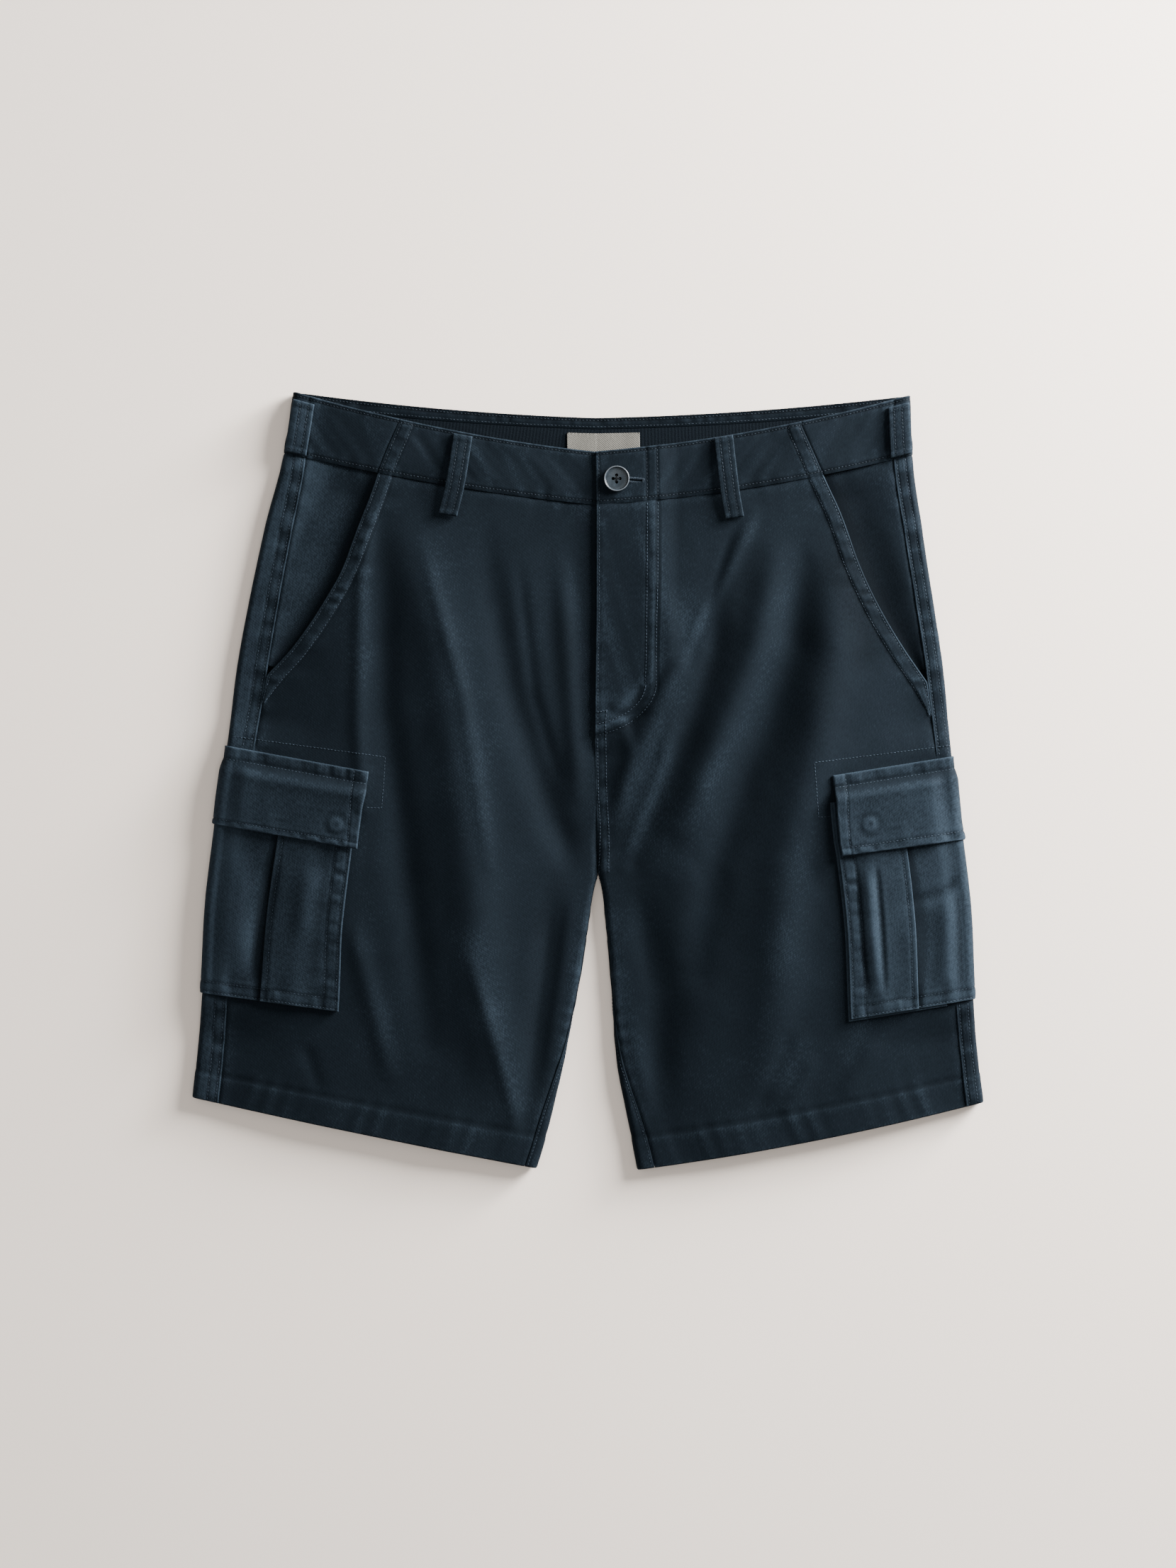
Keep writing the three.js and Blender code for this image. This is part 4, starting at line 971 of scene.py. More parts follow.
def facing_cloth():
    """Ribbed inner band of the waist."""
    shader = Shader("ribbed_facing", 0.85, Specular_IOR_Level=0.02)
    weave = shader.add("UVMap", uv_map="Cloth").outputs["UV"]
    wave = {"Scale": 130, "Distortion": 0.4, "Detail": 1, "bands_direction": "X"}
    ribs = shader.add("TexWave", {"Vector": weave}, **wave).outputs["Fac"]
    slubs = shader.noise(1100, 2, {"Vector": weave})
    total = shader.maths("MULTIPLY_ADD", ribs, 0.35, slubs)
    stops = ((0.2, (0.0015, 0.0023, 0.0035)), (1.0, (0.0048, 0.0070, 0.0095)))
    shader.join(shader.ramp(total, stops), "Base Color")
    bump = shader.add("Bump", {"Height": total}, Strength=0.5, Distance=0.0003)
    shader.join(bump.outputs["Normal"], "Normal")
    return shader.material


def thread(name, light):
    """Sewing thread, lighter and darker along its length."""
    shader = Shader(name, 0.6, Specular_IOR_Level=0.08)
    place_ = shader.add("TexCoord").outputs["Object"]
    shade = shader.noise(600, 2, {"Vector": place_})
    low, high = [tuple(c * k * light for c in THREAD_BLUE) for k in (0.55, 1.5)]
    shader.join(shader.ramp(shade, ((0.3, low), (0.7, high))), "Base Color")
    return shader.material


def label_tape():
    """Cream woven tape."""
    shader = Shader("label_tape", 0.8, Sheen_Weight=0.1, Specular_IOR_Level=0.2)
    weave = shader.add("UVMap", uv_map="Cloth").outputs["UV"]
    slanted = shader.add("Mapping", {"Vector": weave}, Rotation=(0, 0, math.radians(45))).outputs["Vector"]
    ribs = shader.add("TexWave", {"Vector": slanted}, Scale=260, Distortion=0.5, Detail=1).outputs["Fac"]
    slubs = shader.noise(700, 2, {"Vector": weave})
    total = shader.maths("MULTIPLY", shader.maths("ADD", ribs, slubs), 0.5)
    stops = ((0.25, (0.050, 0.0475, 0.041)), (0.75, (0.138, 0.132, 0.115)))
    shader.join(shader.ramp(total, stops), "Base Color")
    bump = shader.add("Bump", {"Height": total}, Strength=0.4, Distance=0.0002)
    shader.join(bump.outputs["Normal"], "Normal")
    return shader.material


def horn():
    """Moulded blue-grey button with faint swirls."""
    shader = Shader("button_plastic", 0.34, Specular_IOR_Level=0.45)
    place_ = shader.add("TexCoord").outputs["Object"]
    swirl = shader.add("TexNoise", {"Vector": place_}, Scale=160, Detail=3, Distortion=1.6).outputs["Fac"]
    # The tone paints the rim lighter, part rubbed wear and part painted highlight, and the low sides and hole
    # walls near black as painted shade.
    rubbed_highlight_and_shade = shader.add("Attribute", attribute_name="tone").outputs["Fac"]
    total = shader.maths("ADD", shader.maths("MULTIPLY", swirl, 0.3), shader.maths("MULTIPLY", rubbed_highlight_and_shade, 0.85))
    stops = ((0.16, (0.0004, 0.0006, 0.0008)), (1.0, (0.075, 0.085, 0.097)), (0.42, (0.012, 0.0185, 0.0245)))
    shader.join(shader.ramp(total, stops), "Base Color")
    shader.join(shader.maths("MINIMUM", rubbed_highlight_and_shade, 0.4), "Specular IOR Level")
    return shader.material


TWILL, FACING, TAPE, HORN = twill(), facing_cloth(), label_tape(), horn()
# The waist's thread and the button's thread are darker copies of the one thread, as painted shade: the waist rows
# lie down in their grooves and the button's thread in its holes.
THREAD = thread("thread", 0.8)
THREAD_WAIST_SHADED = thread("thread_waist_shaded", 0.45)
THREAD_SHADED = thread("thread_shaded", 0.08)

# Panels
def hemmed(down):
    """The hem is turned up inside."""
    return -CLOTH * smooth(down, DOWN["hem_seam"] - 0.2, DOWN["hem_seam"] + 0.6)


def underlap(down):
    return 1 - 0.97 * smooth(down, FLY["foot"] - 20, FLY["foot"] - 1)


def front_piece(side):
    """A front with its pocket mouth's turned edge and, on the left, the fly."""
    down = column(DOWN["waist_seam"] + CLOSE, DOWN["hem_edge"], 255)
    start, centre = mouth_outer(side, down), centre_of(side, down)
    band, beside_fly = mouth_inner(side, down) + 1.5, centre - FLY["wide"] - 4
    end = centre - STAY - LEGS[side]["inseam"](down)
    mouth = spread(start, band, 8)
    middle = mix(band, beside_fly, np.linspace(0, 1, 82)[None, 1:-1])
    round_ = np.hstack((mouth, middle, spread(beside_fly, end, 24)))
    lap = left_lap(down, round_) if side == "left" else 0
    edge = end - round_
    has_band = down < mouth_foot[side]
    wear_and_shade = 0.5 * line_of(round_ - start, 0.9) * has_band + 0.4 * line_of(DOWN["hem_edge"] - down, 1)
    wear_and_shade = wear_and_shade + (0.5 * line_of(edge, 0.9) if side == "left" else 0) + fold_fade_and_shade(side, down, round_)
    # On the left the fly is lighter, with light and dark streaks painted for the light and shade of its puckers.
    if side == "left":
        fly = 1 - smooth(past_fly(down, edge), -5, -1)
        wear_and_shade = wear_and_shade + fly * (0.25 + 0.35 * wobble(round_ + 0.12 * down, 5, 44))
    inner, outer = lap + hemmed(down), front_out(side, down, round_)
    blocks = [block(side, down, round_, inner, outer, wear_and_shade)]
    if side == "right":
        under = centre_of("left", down) - FLY["underlap"] * underlap(down) * np.linspace(0.02, 1, 5)[None, :]
        blocks.append(block("left", down, under, 0, CLOTH))
    solids = ["front_" + side, "mouth_band_" + side] + (["fly"] if side == "left" else [])
    keep = np.ones((len(down) - 1, round_.shape[1] - 1 + (5 if side == "right" else 0)), bool)
    keep[down[:-1, 0] > DOWN["crotch"] - 8, round_.shape[1] - 1 :] = False
    cloth("panel_front_" + side, *blocks, keep=keep, rests_on=["panel_back_" + side], replaces=solids)


def back_piece(side):
    down = column(DOWN["waist_seam"] + CLOSE, DOWN["hem_edge"], 140)
    back, seam = back_of(side, down), seam_of(side, down)
    fold = np.linspace(1, -1, 16)[None, :] * (QUARTER + 1) + 0 * down
    first = spread(seam + SHUT, QUARTER + 1.6, 8)
    under = mix(-(QUARTER + 3), -(back - QUARTER - 1), np.linspace(0, 1, 30)[None, :])
    inner = -(back - QUARTER) - np.linspace(0, QUARTER - STAY, 7)[None, :]
    past = inner[:, -1:] - np.maximum(LEGS[side]["inseam"](down), 0.05) * np.linspace(0.1, 1, 9)[None, :]
    round_ = np.hstack((first, fold, under, inner, past))
    wear_and_shade = 0.45 * line_of(seam - round_, 0.9) + 0.35 * line_of(DOWN["hem_edge"] - down, 1)
    made = block(side, down, round_, hemmed(down), back_out(side, down, round_), wear_and_shade)
    solids = [name + side for name in ("back_", "back_side_fold_", "back_inner_fold_")]
    cloth("panel_back_" + side, made, replaces=solids)


def side_piece(side):
    foot = where_clear(side, mouth_outer, MOUTH_CLEAR)
    down = column(DOWN["waist_seam"] + CLOSE, foot, 84)
    edge = mouth_outer(side, down)
    round_ = spread(seam_of(side, down) + GAP, edge + 0.8 * MOUTH_BAND, 44)
    # Painted light on the wearer's right and painted shade on the left, a painted shadow beside the mouth's edge,
    # and painted light and shade of soft folds.
    shaded = (-0.4 if side == "left" else 0.5) - 1.1 * line_of(edge - round_, 9)
    shaded = shaded + 0.45 * wobble(round_ + 0.25 * down, 11, 64)
    made = block(side, down, round_, side_sink(side, down, round_), side_out(side, down, round_), shaded)
    cloth("panel_side_" + side, made, rests_on=["panel_back_" + side], replaces=["side_panel_" + side])


def waist_side(side):
    down = column(0, DOWN["waist_seam"] - CLOSE, 36)
    round_ = spread(seam_of(side, down) + GAP, mouth_outer(side, down) - GAP, 42)
    made = block(side, down, round_, 0, waist_out(side, down, round_), waist_tone(down, round_))
    cloth("waist_side_" + side, made, rests_on=["waist_back"], replaces=["waistband_side_" + side])


def waist_front(side):
    """A front waistband; the right one runs on under the left."""
    down = column(0, DOWN["waist_seam"] - CLOSE, 36)
    centre = centre_of(side, down)
    mouth = spread(mouth_outer(side, down), mouth_inner(side, down) + 1.5, 10)
    rest = spread(mouth_inner(side, down) + 1.6, centre, 140)
    round_ = np.hstack((mouth, rest))
    lap = left_lap(down, round_) if side == "left" else 0
    wear_and_shade = waist_tone(down, round_) + (0.45 * line_of(centre - round_, 1.6) if side == "left" else 0)
    blocks = [block(side, down, round_, lap, waist_out(side, down, round_), wear_and_shade)]
    if side == "right":
        under = centre_of("left", down) - np.linspace(0.5, WAIST_LAP, 14)[None, :]
        blocks.append(block("left", down, under, 0, DOUBLE + rim(down, 1.0)))
    solids = ["waistband_front_" + side, "mouth_band_top_" + side]
    return cloth("waist_front_" + side, *blocks, rests_on=["waist_back"], replaces=solids)


def round_the_back(down, first, count):
    """Two grids of places: from the first place on the right side to the centre back and back."""
    grids = {}
    for side in SIDES:
        back = back_of(side, down)
        start = first(side, down)
        grids[side] = np.hstack((start, mix(start[:, -1:], -back, np.linspace(0, 1, count + 1)[None, 1:])))
    return grids["right"], grids["left"][:, ::-1][:, 1:]


def waist_back():
    """The back of the waistband, outside and inside, from side to side."""
    down = column(0, DOWN["waist_seam"] - CLOSE, 36)
    fold = np.linspace(QUARTER + 1, -QUARTER - 2, 16)[None, :]

    def first(side, rows):
        return np.hstack((spread(seam_of(side, rows) + SHUT, QUARTER + 1.6, 3), fold + 0 * rows))

    blocks = []
    for side, round_ in zip(SIDES, round_the_back(down, first, 90)):
        inner = waist_inner(down, round_)
        face = np.where(round_ < -QUARTER, -inner, waist_out(side, down, round_))
        wear_and_shade = waist_tone(down, round_) - 0.6 * (round_ < -QUARTER)
        blocks.append(block(side, down, round_, inner, waist_out(side, down, round_), wear_and_shade, face))
    cloth("waist_back", *blocks, replaces=["waistband_back"])


def facing_piece():
    """The ribbed inner band of the back waist."""
    down = column(TURN + 0.2, DOWN["waist_seam"] - 2, 16)
    first = lambda side, rows: -QUARTER - 2 + 0 * rows
    blocks = []
    for side, round_ in zip(SIDES, round_the_back(down, first, 80)):
        shown = FACING_DEPTH + 0.12 * wobble(round_ + 3 * down, 2.2, 83) * smooth(down, TURN, TURN + 3)
        blocks.append(block(side, down, round_, shown, FACING_DEPTH + FACING_THICK, 0, -shown))
    solids = ["waistband_facing"]
    cloth("waist_facing", *blocks, material=FACING, slot="facing", rests_on=["waist_back"], replaces=solids)


def label_piece():
    """A bare label, sewn to the facing along its edges."""
    top = TURN + LABEL["below"]
    down = column(top, top + LABEL["high"], 18)
    blocks = []
    for side, turn in (("right", -1), ("left", 1)):
        back = back_of(side, down)
        reach = LABEL["wide"] / 2 + turn * (LABEL["x"] - CENTRE_LINE)
        t = spread(0, 1, 20, (0, 0.01, 0.02, 0.04))
        round_ = reach * (1 - t) - back
        if side == "left":
            round_ = round_[:, ::-1][:, 1:]
        weave = 0.06 * np.sin((round_ + down) * 2.6) + 0.15 * wobble(round_, 9, 84)
        teeth = 0.25 * line_of(down - top, 0.7) * np.sin(round_ * 2.4)
        shown = FACING_DEPTH - GAP - LABEL["thick"] + weave + teeth
        blocks.append(block(side, down, round_, shown, FACING_DEPTH - GAP, 0, -shown))
    cloth("waist_label", *blocks, material=TAPE, slot="tape", rests_on=["waist_facing"], replaces=["label"])


# Cargo pockets
def pocket_piece(side):
    """A cargo pocket that runs round the side fold, with one pleat."""
    down = column(POCKET_TOP, DOWN["pocket_foot"], 122)
    front, pleat = CARGO[side]["front"], pleat_at(side, down)
    under = np.linspace(-CARGO_BACK, -QUARTER - 2, 34)[None, :] + 0 * down
    fold = np.linspace(-QUARTER, QUARTER + 1, 14)[None, :] + 0 * down
    beside = spread(QUARTER + 1.8, pleat, 20)
    round_ = np.hstack((under, fold, beside, spread(pleat + 0.22, front, 40)))
    wear_and_shade = 0.5 * line_of(front - round_, 0.9) + 0.4 * line_of(DOWN["pocket_foot"] - down, 0.9)
    past = round_ - pleat
    wear_and_shade = wear_and_shade + 0.45 * line_of(past - 0.4, 0.8) * (past > 0.1)
    wear_and_shade = wear_and_shade + CARGO_PAINTED_LIGHT[side]
    # Painted shadow beside the pleat, on the side away from its folded edge, widest some way above the foot.
    pleat_shadow_reach = 4 + 8 * line_of(down - DOWN["pocket_foot"] + 60, 45)
    wear_and_shade = wear_and_shade - 1.3 * (1 - smooth(-past, 0, pleat_shadow_reach)) * (past < 0.1)
    made = block(side, down, round_, pocket_inner(round_), pocket_out(side, down, round_), wear_and_shade)
    rests = ["panel_front_" + side, "panel_back_" + side]
    cloth("cargo_pocket_" + side, made, rests_on=rests, replaces=["pocket_" + side])


def gusset_piece(side):
    """The bellows strip that shows beside the pocket's front edge and foot."""
    front, bellows = CARGO[side]["front"], CARGO[side]["bellows"]
    turn = DOWN["pocket_foot"] - CARGO_BAND
    down = np.vstack((column(POCKET_TOP, turn, 70), column(turn, DOWN["pocket_foot"] + bellows, 6)[1:]))
    strip = spread(front + bellows, front - CARGO_BAND, 4)
    round_ = np.hstack((strip, np.linspace(front - CARGO_BAND, QUARTER + 15, 44)[None, 1:])) + 0 * down
    edge = np.minimum(front + bellows - round_, DOWN["pocket_foot"] + bellows - down)
    out = 2 * CLOTH + LAYER_GAP + rim(edge, 0.6) + 0.1 * wobble(down + round_, 5, 96)
    keep = np.zeros((len(down) - 1, round_.shape[1] - 1), bool)
    keep[:, : strip.shape[1] - 1] = True
    keep[down[:-1, 0] >= turn - 1e-6] = True
    # The strip is painted lighter throughout, as painted light against the shadow of the pocket's edge, and
    # lighter still along its own edge as wear.
    made = block(side, down, round_, CLOTH + LAYER_GAP, out, 1.3 + 0.3 * line_of(edge, 0.8))
    long = DOWN["pocket_foot"] + bellows - POCKET_TOP + front - QUARTER - 15
    cloth(
        "cargo_gusset_" + side,
        made,
        keep=keep,
        flat=((CARGO_BAND + bellows) * MM, long * MM),
        rests_on=["panel_front_" + side],
        replaces=["gusset_" + side],
    )


def flap_piece(side):
    """A flap that runs round the side fold."""
    down = column(DOWN["flap_top"], DOWN["flap_foot"], 40)
    reach = CARGO[side]["flap"]
    under = spread(-(CARGO_BACK + 2), -QUARTER - 1, 32)
    fold = np.linspace(-QUARTER, QUARTER + 1, 14)[None, :]
    round_ = np.hstack((under, fold, spread(QUARTER + 1.8, reach, 104))) + 0 * down
    top, foot = down - DOWN["flap_top"], DOWN["flap_foot"] - down
    wear_and_shade = 0.5 * line_of(reach - round_, 0.9) + 0.4 * line_of(foot, 0.9) + 0.4 * line_of(top, 0.9)
    # Painted shade below the top row, against the highlight the lamp puts on the flap's rise; the whole flap is
    # lifted by painted light.
    wear_and_shade = wear_and_shade - 0.6 * line_of(top - 13, 6) + CARGO_PAINTED_LIGHT[side]
    made = block(side, down, round_, flap_inner(down, round_), flap_out(side, down, round_), wear_and_shade)
    cloth("cargo_flap_" + side, made, rests_on=["cargo_pocket_" + side], replaces=["flap_" + side])


# Belt loops
def loop_level(t, arch):
    return DOUBLE + LAYER_GAP + arch * np.sin(math.pi * np.clip(t, 0, 1))


def loop_relief(along, across, length, seed):
    """Doubled at the ends, where it is folded under; two rows of stitches run along it."""
    half, ends = LOOP["wide"] / 2, np.minimum(along, length - along)
    relief = rim(half - np.abs(across), 0.8) + rim(ends, 1.1) + 0.35 * (1 - smooth(ends, 3.2, 4.6))
    relief = relief + groove(np.abs(across) - LOOP["row"], 0.28, 0.8)
    return relief + 0.15 * wobble(along, 4, seed) + 0.12 * wobble(across + 3 * seed, 3, seed + 1)


def loop_piece(name, side, start, end, arch, seed):
    """A belt loop between two places, with its stitches."""
    points = place(side, *np.array((start, end)).T, DOUBLE)
    length = np.linalg.norm(points[1] - points[0])
    t = column(0, length, 40) / length
    down, middle = (mix(a, b, t) for a, b in zip(start, end))
    across = spread(-LOOP["wide"] / 2, LOOP["wide"] / 2, 10)
    inner = loop_level(t, arch)
    outer = inner + LOOP["thick"] + loop_relief(t * length, across, length, seed)
    wear_and_shade = 0.4 * line_of(LOOP["wide"] / 2 - np.abs(across), 0.8)
    wear_and_shade = wear_and_shade + 0.3 * line_of(np.minimum(t, 1 - t) * length, 1)
    made = block(side, down, middle + across, inner, outer, wear_and_shade)
    cloth(name.replace("loop", "belt_loop"), made, rests_on=["waist_back"], replaces=[name])


    def stitched(share, aside, sunk, **look):
        """A row of stitches on the loop, at shares of its length and at places aside of its middle."""
        share, aside = np.broadcast_arrays(share, aside)
        line = np.stack((mix(start[0], end[0], share), mix(start[1], end[1], share) + aside), axis=1)
        waist_stitches.row(side, line, level=loop_level(share, arch) + LOOP["thick"] - sunk, **look)

    for row in (-LOOP["row"], LOOP["row"]):
        stitched(np.linspace(0.01, 0.99, 60), row, 0.15)
    for share in (LOOP["tack"] / length, 1 - LOOP["tack"] / length):
        stitched(share, np.linspace(-5.6, 5.6, 12), -0.17, long=1.6, gap=0.25, thick=0.5)


# Stitches
class Stitching:
    """Rows of stitches, gathered into one mesh for each part of the garment."""

    # Rings of one stitch: share of its length, size, and how far out of the cloth.
    RINGS = ((0, 0.45, -0.26), (0.2, 1, 0.05), (0.8, 1, 0.05), (1, 0.45, -0.26))
    SIDES_ROUND = 4

    def __init__(self, name, thick=0.5):
        self.name = name
        self.thick = thick
        self.points = []
        self.seed = sum(map(ord, name))

    def row(self, side, line, out=None, level=None, long=1.95, gap=0.5, thick=None, facing=1):
        """Stitches along a line of places (down, round), on a surface or at given levels."""
        line = np.array(line, float)
        dense = 8 if len(line) < 40 else 2
        at = np.linspace(0, len(line) - 1, (len(line) - 1) * dense + 1)
        down, round_ = (np.interp(at, np.arange(len(line)), line[:, k]) for k in (0, 1))
        if level is None:
            level = out(side, down, round_)
        else:
            level = np.interp(at, np.arange(len(line)), level)
        points = place(side, down, round_, level)
        up = (place(side, down, round_, level + 1) - points) * facing
        self.along(points, up, long, gap, thick)

    def along(self, points, up, long=1.95, gap=0.5, thick=None):
        """Stitches along points in space, each with its direction away from the cloth."""
        thick = thick or self.thick
        walked = np.r_[0, np.cumsum(np.linalg.norm(np.diff(points, axis=0), axis=1))]
        count = int((walked[-1] + gap) / (long + gap))
        if count < 1:
            return
        self.seed += 1
        shake = np.random.default_rng(self.seed).uniform(-1, 1, (count, 3))
        pitch = (walked[-1] + gap) / count
        starts = np.arange(count) * pitch + 0.04 * long * shake[:, 0]
        ring_at, ring_size, ring_out = (np.array(values) for values in zip(*self.RINGS))
        at = starts[:, None] + ring_at * (pitch - gap) * (1 + 0.05 * shake[:, 1:2])
        read = lambda grid: np.stack([np.interp(at, walked, grid[:, k]) for k in range(3)], axis=-1)
        here, normal = read(points), read(up)
        normal = normal / np.linalg.norm(normal, axis=-1, keepdims=True)
        along = here[:, -1:] - here[:, :1]
        along = along / np.linalg.norm(along, axis=-1, keepdims=True)
        across = np.cross(along, normal)
        across = across / np.linalg.norm(across, axis=-1, keepdims=True)
        slant = np.linspace(-0.5, 0.5, len(self.RINGS))[None, :, None] * 0.3 * thick
        here = here + across * (slant + 0.15 * thick * shake[:, 2][:, None, None])
        turn = np.linspace(0, 2 * math.pi, self.SIDES_ROUND, endpoint=False)
        size = ring_size[None, :, None, None] * thick / 2
        out = ring_out[None, :, None, None] * thick
        circle = np.cos(turn)[:, None] * across[:, :, None] + 0.8 * np.sin(turn)[:, None] * normal[:, :, None]
        made = here[:, :, None] + circle * size + normal[:, :, None] * out
        self.points.append(made.reshape(-1, 3))

    def make(self, material):
        points = np.concatenate(self.points) * MM
        rings, sides = len(self.RINGS), self.SIDES_ROUND
        count = len(points) // (rings * sides)
        one = []
        for ring in range(rings - 1):
            for k in range(sides):
                a, b = ring * sides + k, ring * sides + (k + 1) % sides
                one.append((a, b, b + sides, a + sides))
        starts = np.arange(count)[:, None, None] * rings * sides
        faces = (starts + np.array(one)).reshape(-1, 4).tolist()
        for end in (range(sides)[::-1], range((rings - 1) * sides, rings * sides)):
            faces += (starts[:, 0] + np.array(list(end))).tolist()
        mesh = bpy.data.meshes.new(self.name)
        mesh.from_pydata(points.tolist(), [], faces)
        mesh.polygons.foreach_set("use_smooth", np.ones(len(faces), bool))
        return link(bpy.data.objects.new(self.name, mesh), material)


def upright(round_of, low, high, side):
    """A line of places that runs down the garment, at a place round for each way down."""
    down = np.linspace(low, high, max(int(abs(high - low) / 2), 4))
    return np.stack((down, np.broadcast_to(round_of(side, down), down.shape)), axis=1)


def level_row(down, low, high):
    """A line of places that runs round the garment, at one way down."""
    round_ = np.linspace(low, high, max(int(abs(high - low) / 2), 4))
    return np.stack((np.full(len(round_), float(down)), round_), axis=1)


def corner_row(side, points):
    """A line through plan positions, as places."""
    found = np.array([locate(side, x, y) for x, y in points])
    steps_ = np.linspace(0, len(points) - 1, (len(points) - 1) * 12 + 1)
    return np.stack([np.interp(steps_, np.arange(len(points)), found[:, k]) for k in (0, 1)], axis=1)


def mouth_row(past):
    """Places round along a slant pocket's mouth, past its edge."""
    share = past / MOUTH_BAND
    return lambda side, down: mix(mouth_outer(side, down), mouth_inner(side, down), share)


def panel_stitches(side):
    """All rows on a leg's panels: seams, pocket mouth, hem, pocket-bag stay and, on the left, the fly."""
    rows = Stitching("stitches_panels_" + side)
    seam_top, foot = DOWN["waist_seam"] + 1.5, DOWN["hem_edge"] - 1
    for past in SEAM_ROWS:
        at_seam = lambda s, d: seam_of(s, d) - past
        rows.row(side, upright(at_seam, seam_top, DOWN["flap_top"] - 2, side), back_out)
        rows.row(side, upright(at_seam, DOWN["pocket_foot"] + 2, foot, side), back_out)
        at_seat = lambda s, d: -(back_of(s, d) - past)
        if side == "right":
            rows.row(side, upright(at_seat, seam_top, DOWN["crotch"] - 3, side), back_out)
    at_inseam = lambda s, d: -(back_of(s, d) + LEGS[s]["inseam"](d)) + SEAM_ROWS[0]
    rows.row(side, upright(at_inseam, DOWN["crotch"] + 12, foot, side), back_out)
    for past in MOUTH_ROWS:
        rows.row(side, upright(mouth_row(past), seam_top, mouth_foot[side] - 1, side), front_out)
    hem = DOWN["hem_edge"] - HEM
    end = centre_of(side, hem) - LEGS[side]["inseam"](hem)
    rows.row(side, level_row(hem, seam_of(side, hem) + 1, end - 1), front_out)
    rows.row(side, level_row(hem, seam_of(side, hem) - 1, -back_of(side, hem) - 2), back_out)
    rows.row(side, corner_row(side, STAY_ROWS[side]), front_out)
    if side == "left":
        rows.row(side, upright(lambda s, d: centre_of(s, d) - EDGE_ROW, seam_top, FLY["end"] + 2, side), front_out)
        proud = lambda s, d, r: front_out(s, d, r) + 0.2
        for row in FLY_ROWS:
            straight = upright(lambda s, d: centre_of(s, d) - FLY["wide"] - row, seam_top, FLY["turn"], side)
            turn = np.linspace(0, math.pi / 2 - 0.06, 30)
            deep = FLY["end"] - FLY["turn"] + row
            bend = FLY["turn"] + deep * np.sin(turn)
            curve = np.stack((bend, centre_of(side, bend) - (FLY["wide"] + row) * np.cos(turn)), axis=1)
            rows.row(side, np.vstack((straight, curve[1:])), proud)
        tack = FLY["end"] - 14.5
        for past, top in zip(SEAM_ROWS, (FLY["end"] + 3, tack)):
            at_seam = lambda s, d: centre_of(s, d) - past
            rows.row(side, upright(at_seam, top, DOWN["crotch"] - 2, side), proud)
        centre = float(centre_of(side, np.float64(tack)))
        rows.row(side, level_row(tack, centre - 9, centre - 1), proud, long=1.6, gap=0.1, thick=0.6)
    rows.make(THREAD)


def waist_rows(side):
    """The rows on the waistband, outside and inside."""
    foot = WAIST_ROWS[1]
    for down in WAIST_ROWS:
        low = -float(back_of(side, np.float64(down)))
        high = float(centre_of(side, np.float64(down))) - (EDGE_ROW if side == "left" else 0.5)
        waist_stitches.row(side, level_row(down, low + 1, high), waist_out)
    for past in MOUTH_ROWS:
        waist_stitches.row(side, upright(mouth_row(past), 2, foot, side), waist_out)
    for down in TURN_ROWS:
        inside = lambda s, d, r: waist_inner(d, r)
        low = float(back_of(side, np.float64(down)))
        waist_stitches.row(side, level_row(down, -low + 0.5, -QUARTER - 8), inside, facing=-1)
    if side == "left":
        waist_stitches.row(side, upright(lambda s, d: centre_of(s, d) - EDGE_ROW, 2, foot, side), waist_out)
        for row in FLY_ROWS:
            at_fly = lambda s, d: centre_of(s, d) - FLY["wide"] - row
            waist_stitches.row(side, upright(at_fly, 3, foot, side), waist_out)


def cargo_stitches(side):
    """The rows on a cargo pocket and its flap."""
    rows = Stitching("stitches_cargo_" + side)
    front, reach = CARGO[side]["front"], CARGO[side]["flap"]
    under_flap, foot = DOWN["flap_foot"] - 8, DOWN["pocket_foot"]
    for beside, above in zip(POCKET_ROWS, FOOT_ROWS):
        at_edge = lambda s, d: front - beside
        rows.row(side, upright(at_edge, under_flap, foot - above, side), pocket_out)
    for beside, above in zip(POCKET_ROWS, FOOT_ROWS):
        rows.row(side, level_row(foot - above, front - beside, -CARGO_BACK + 1), pocket_out)
    at_pleat = lambda s, d: pleat_at(s, d) + PLEAT_ROW
    rows.row(side, upright(at_pleat, under_flap, foot - FOOT_ROWS[1], side), pocket_out)
    top = DOWN["flap_top"] + FLAP_ROWS["top"]
    rows.row(side, level_row(top, reach - 0.8, -CARGO_BACK - 1), flap_out)
    bottom = DOWN["flap_foot"] - FLAP_ROWS["foot"]
    rows.row(side, level_row(bottom, reach - FLAP_ROWS["front_foot"], -CARGO_BACK - 1), flap_out)
    at_front = lambda s, d: reach - flap_front_row(d)
    rows.row(side, upright(at_front, DOWN["flap_top"] + 1, bottom, side), flap_out)
    rows.make(THREAD)


# Button and buttonhole
button_spot = locate("left", BUTTON["x"], BUTTON["y"])
button_lift = float(left_lap(button_spot[0], np.float64(button_spot[1])))


def at_button(out):
    return place("left", *(np.float64(v) for v in button_spot), out)


def upright_turn():
    """The turn from upright to the way the cloth faces at the button."""
    up = at_button(1.0) - at_button(0.0)
    return np.array(Vector((0, 0, 1)).rotation_difference(Vector(up)).to_matrix())


def stood(points, out):
    """Points made upright, stood on the cloth at the button."""
    return (np.asarray(points) @ upright_turn().T + at_button(out)) * MM


def plain_mesh(name, points, faces):
    mesh = bpy.data.meshes.new(name)
    mesh.from_pydata([tuple(p) for p in points], [], faces)
    mesh.validate()
    return bpy.data.objects.new(name, mesh)


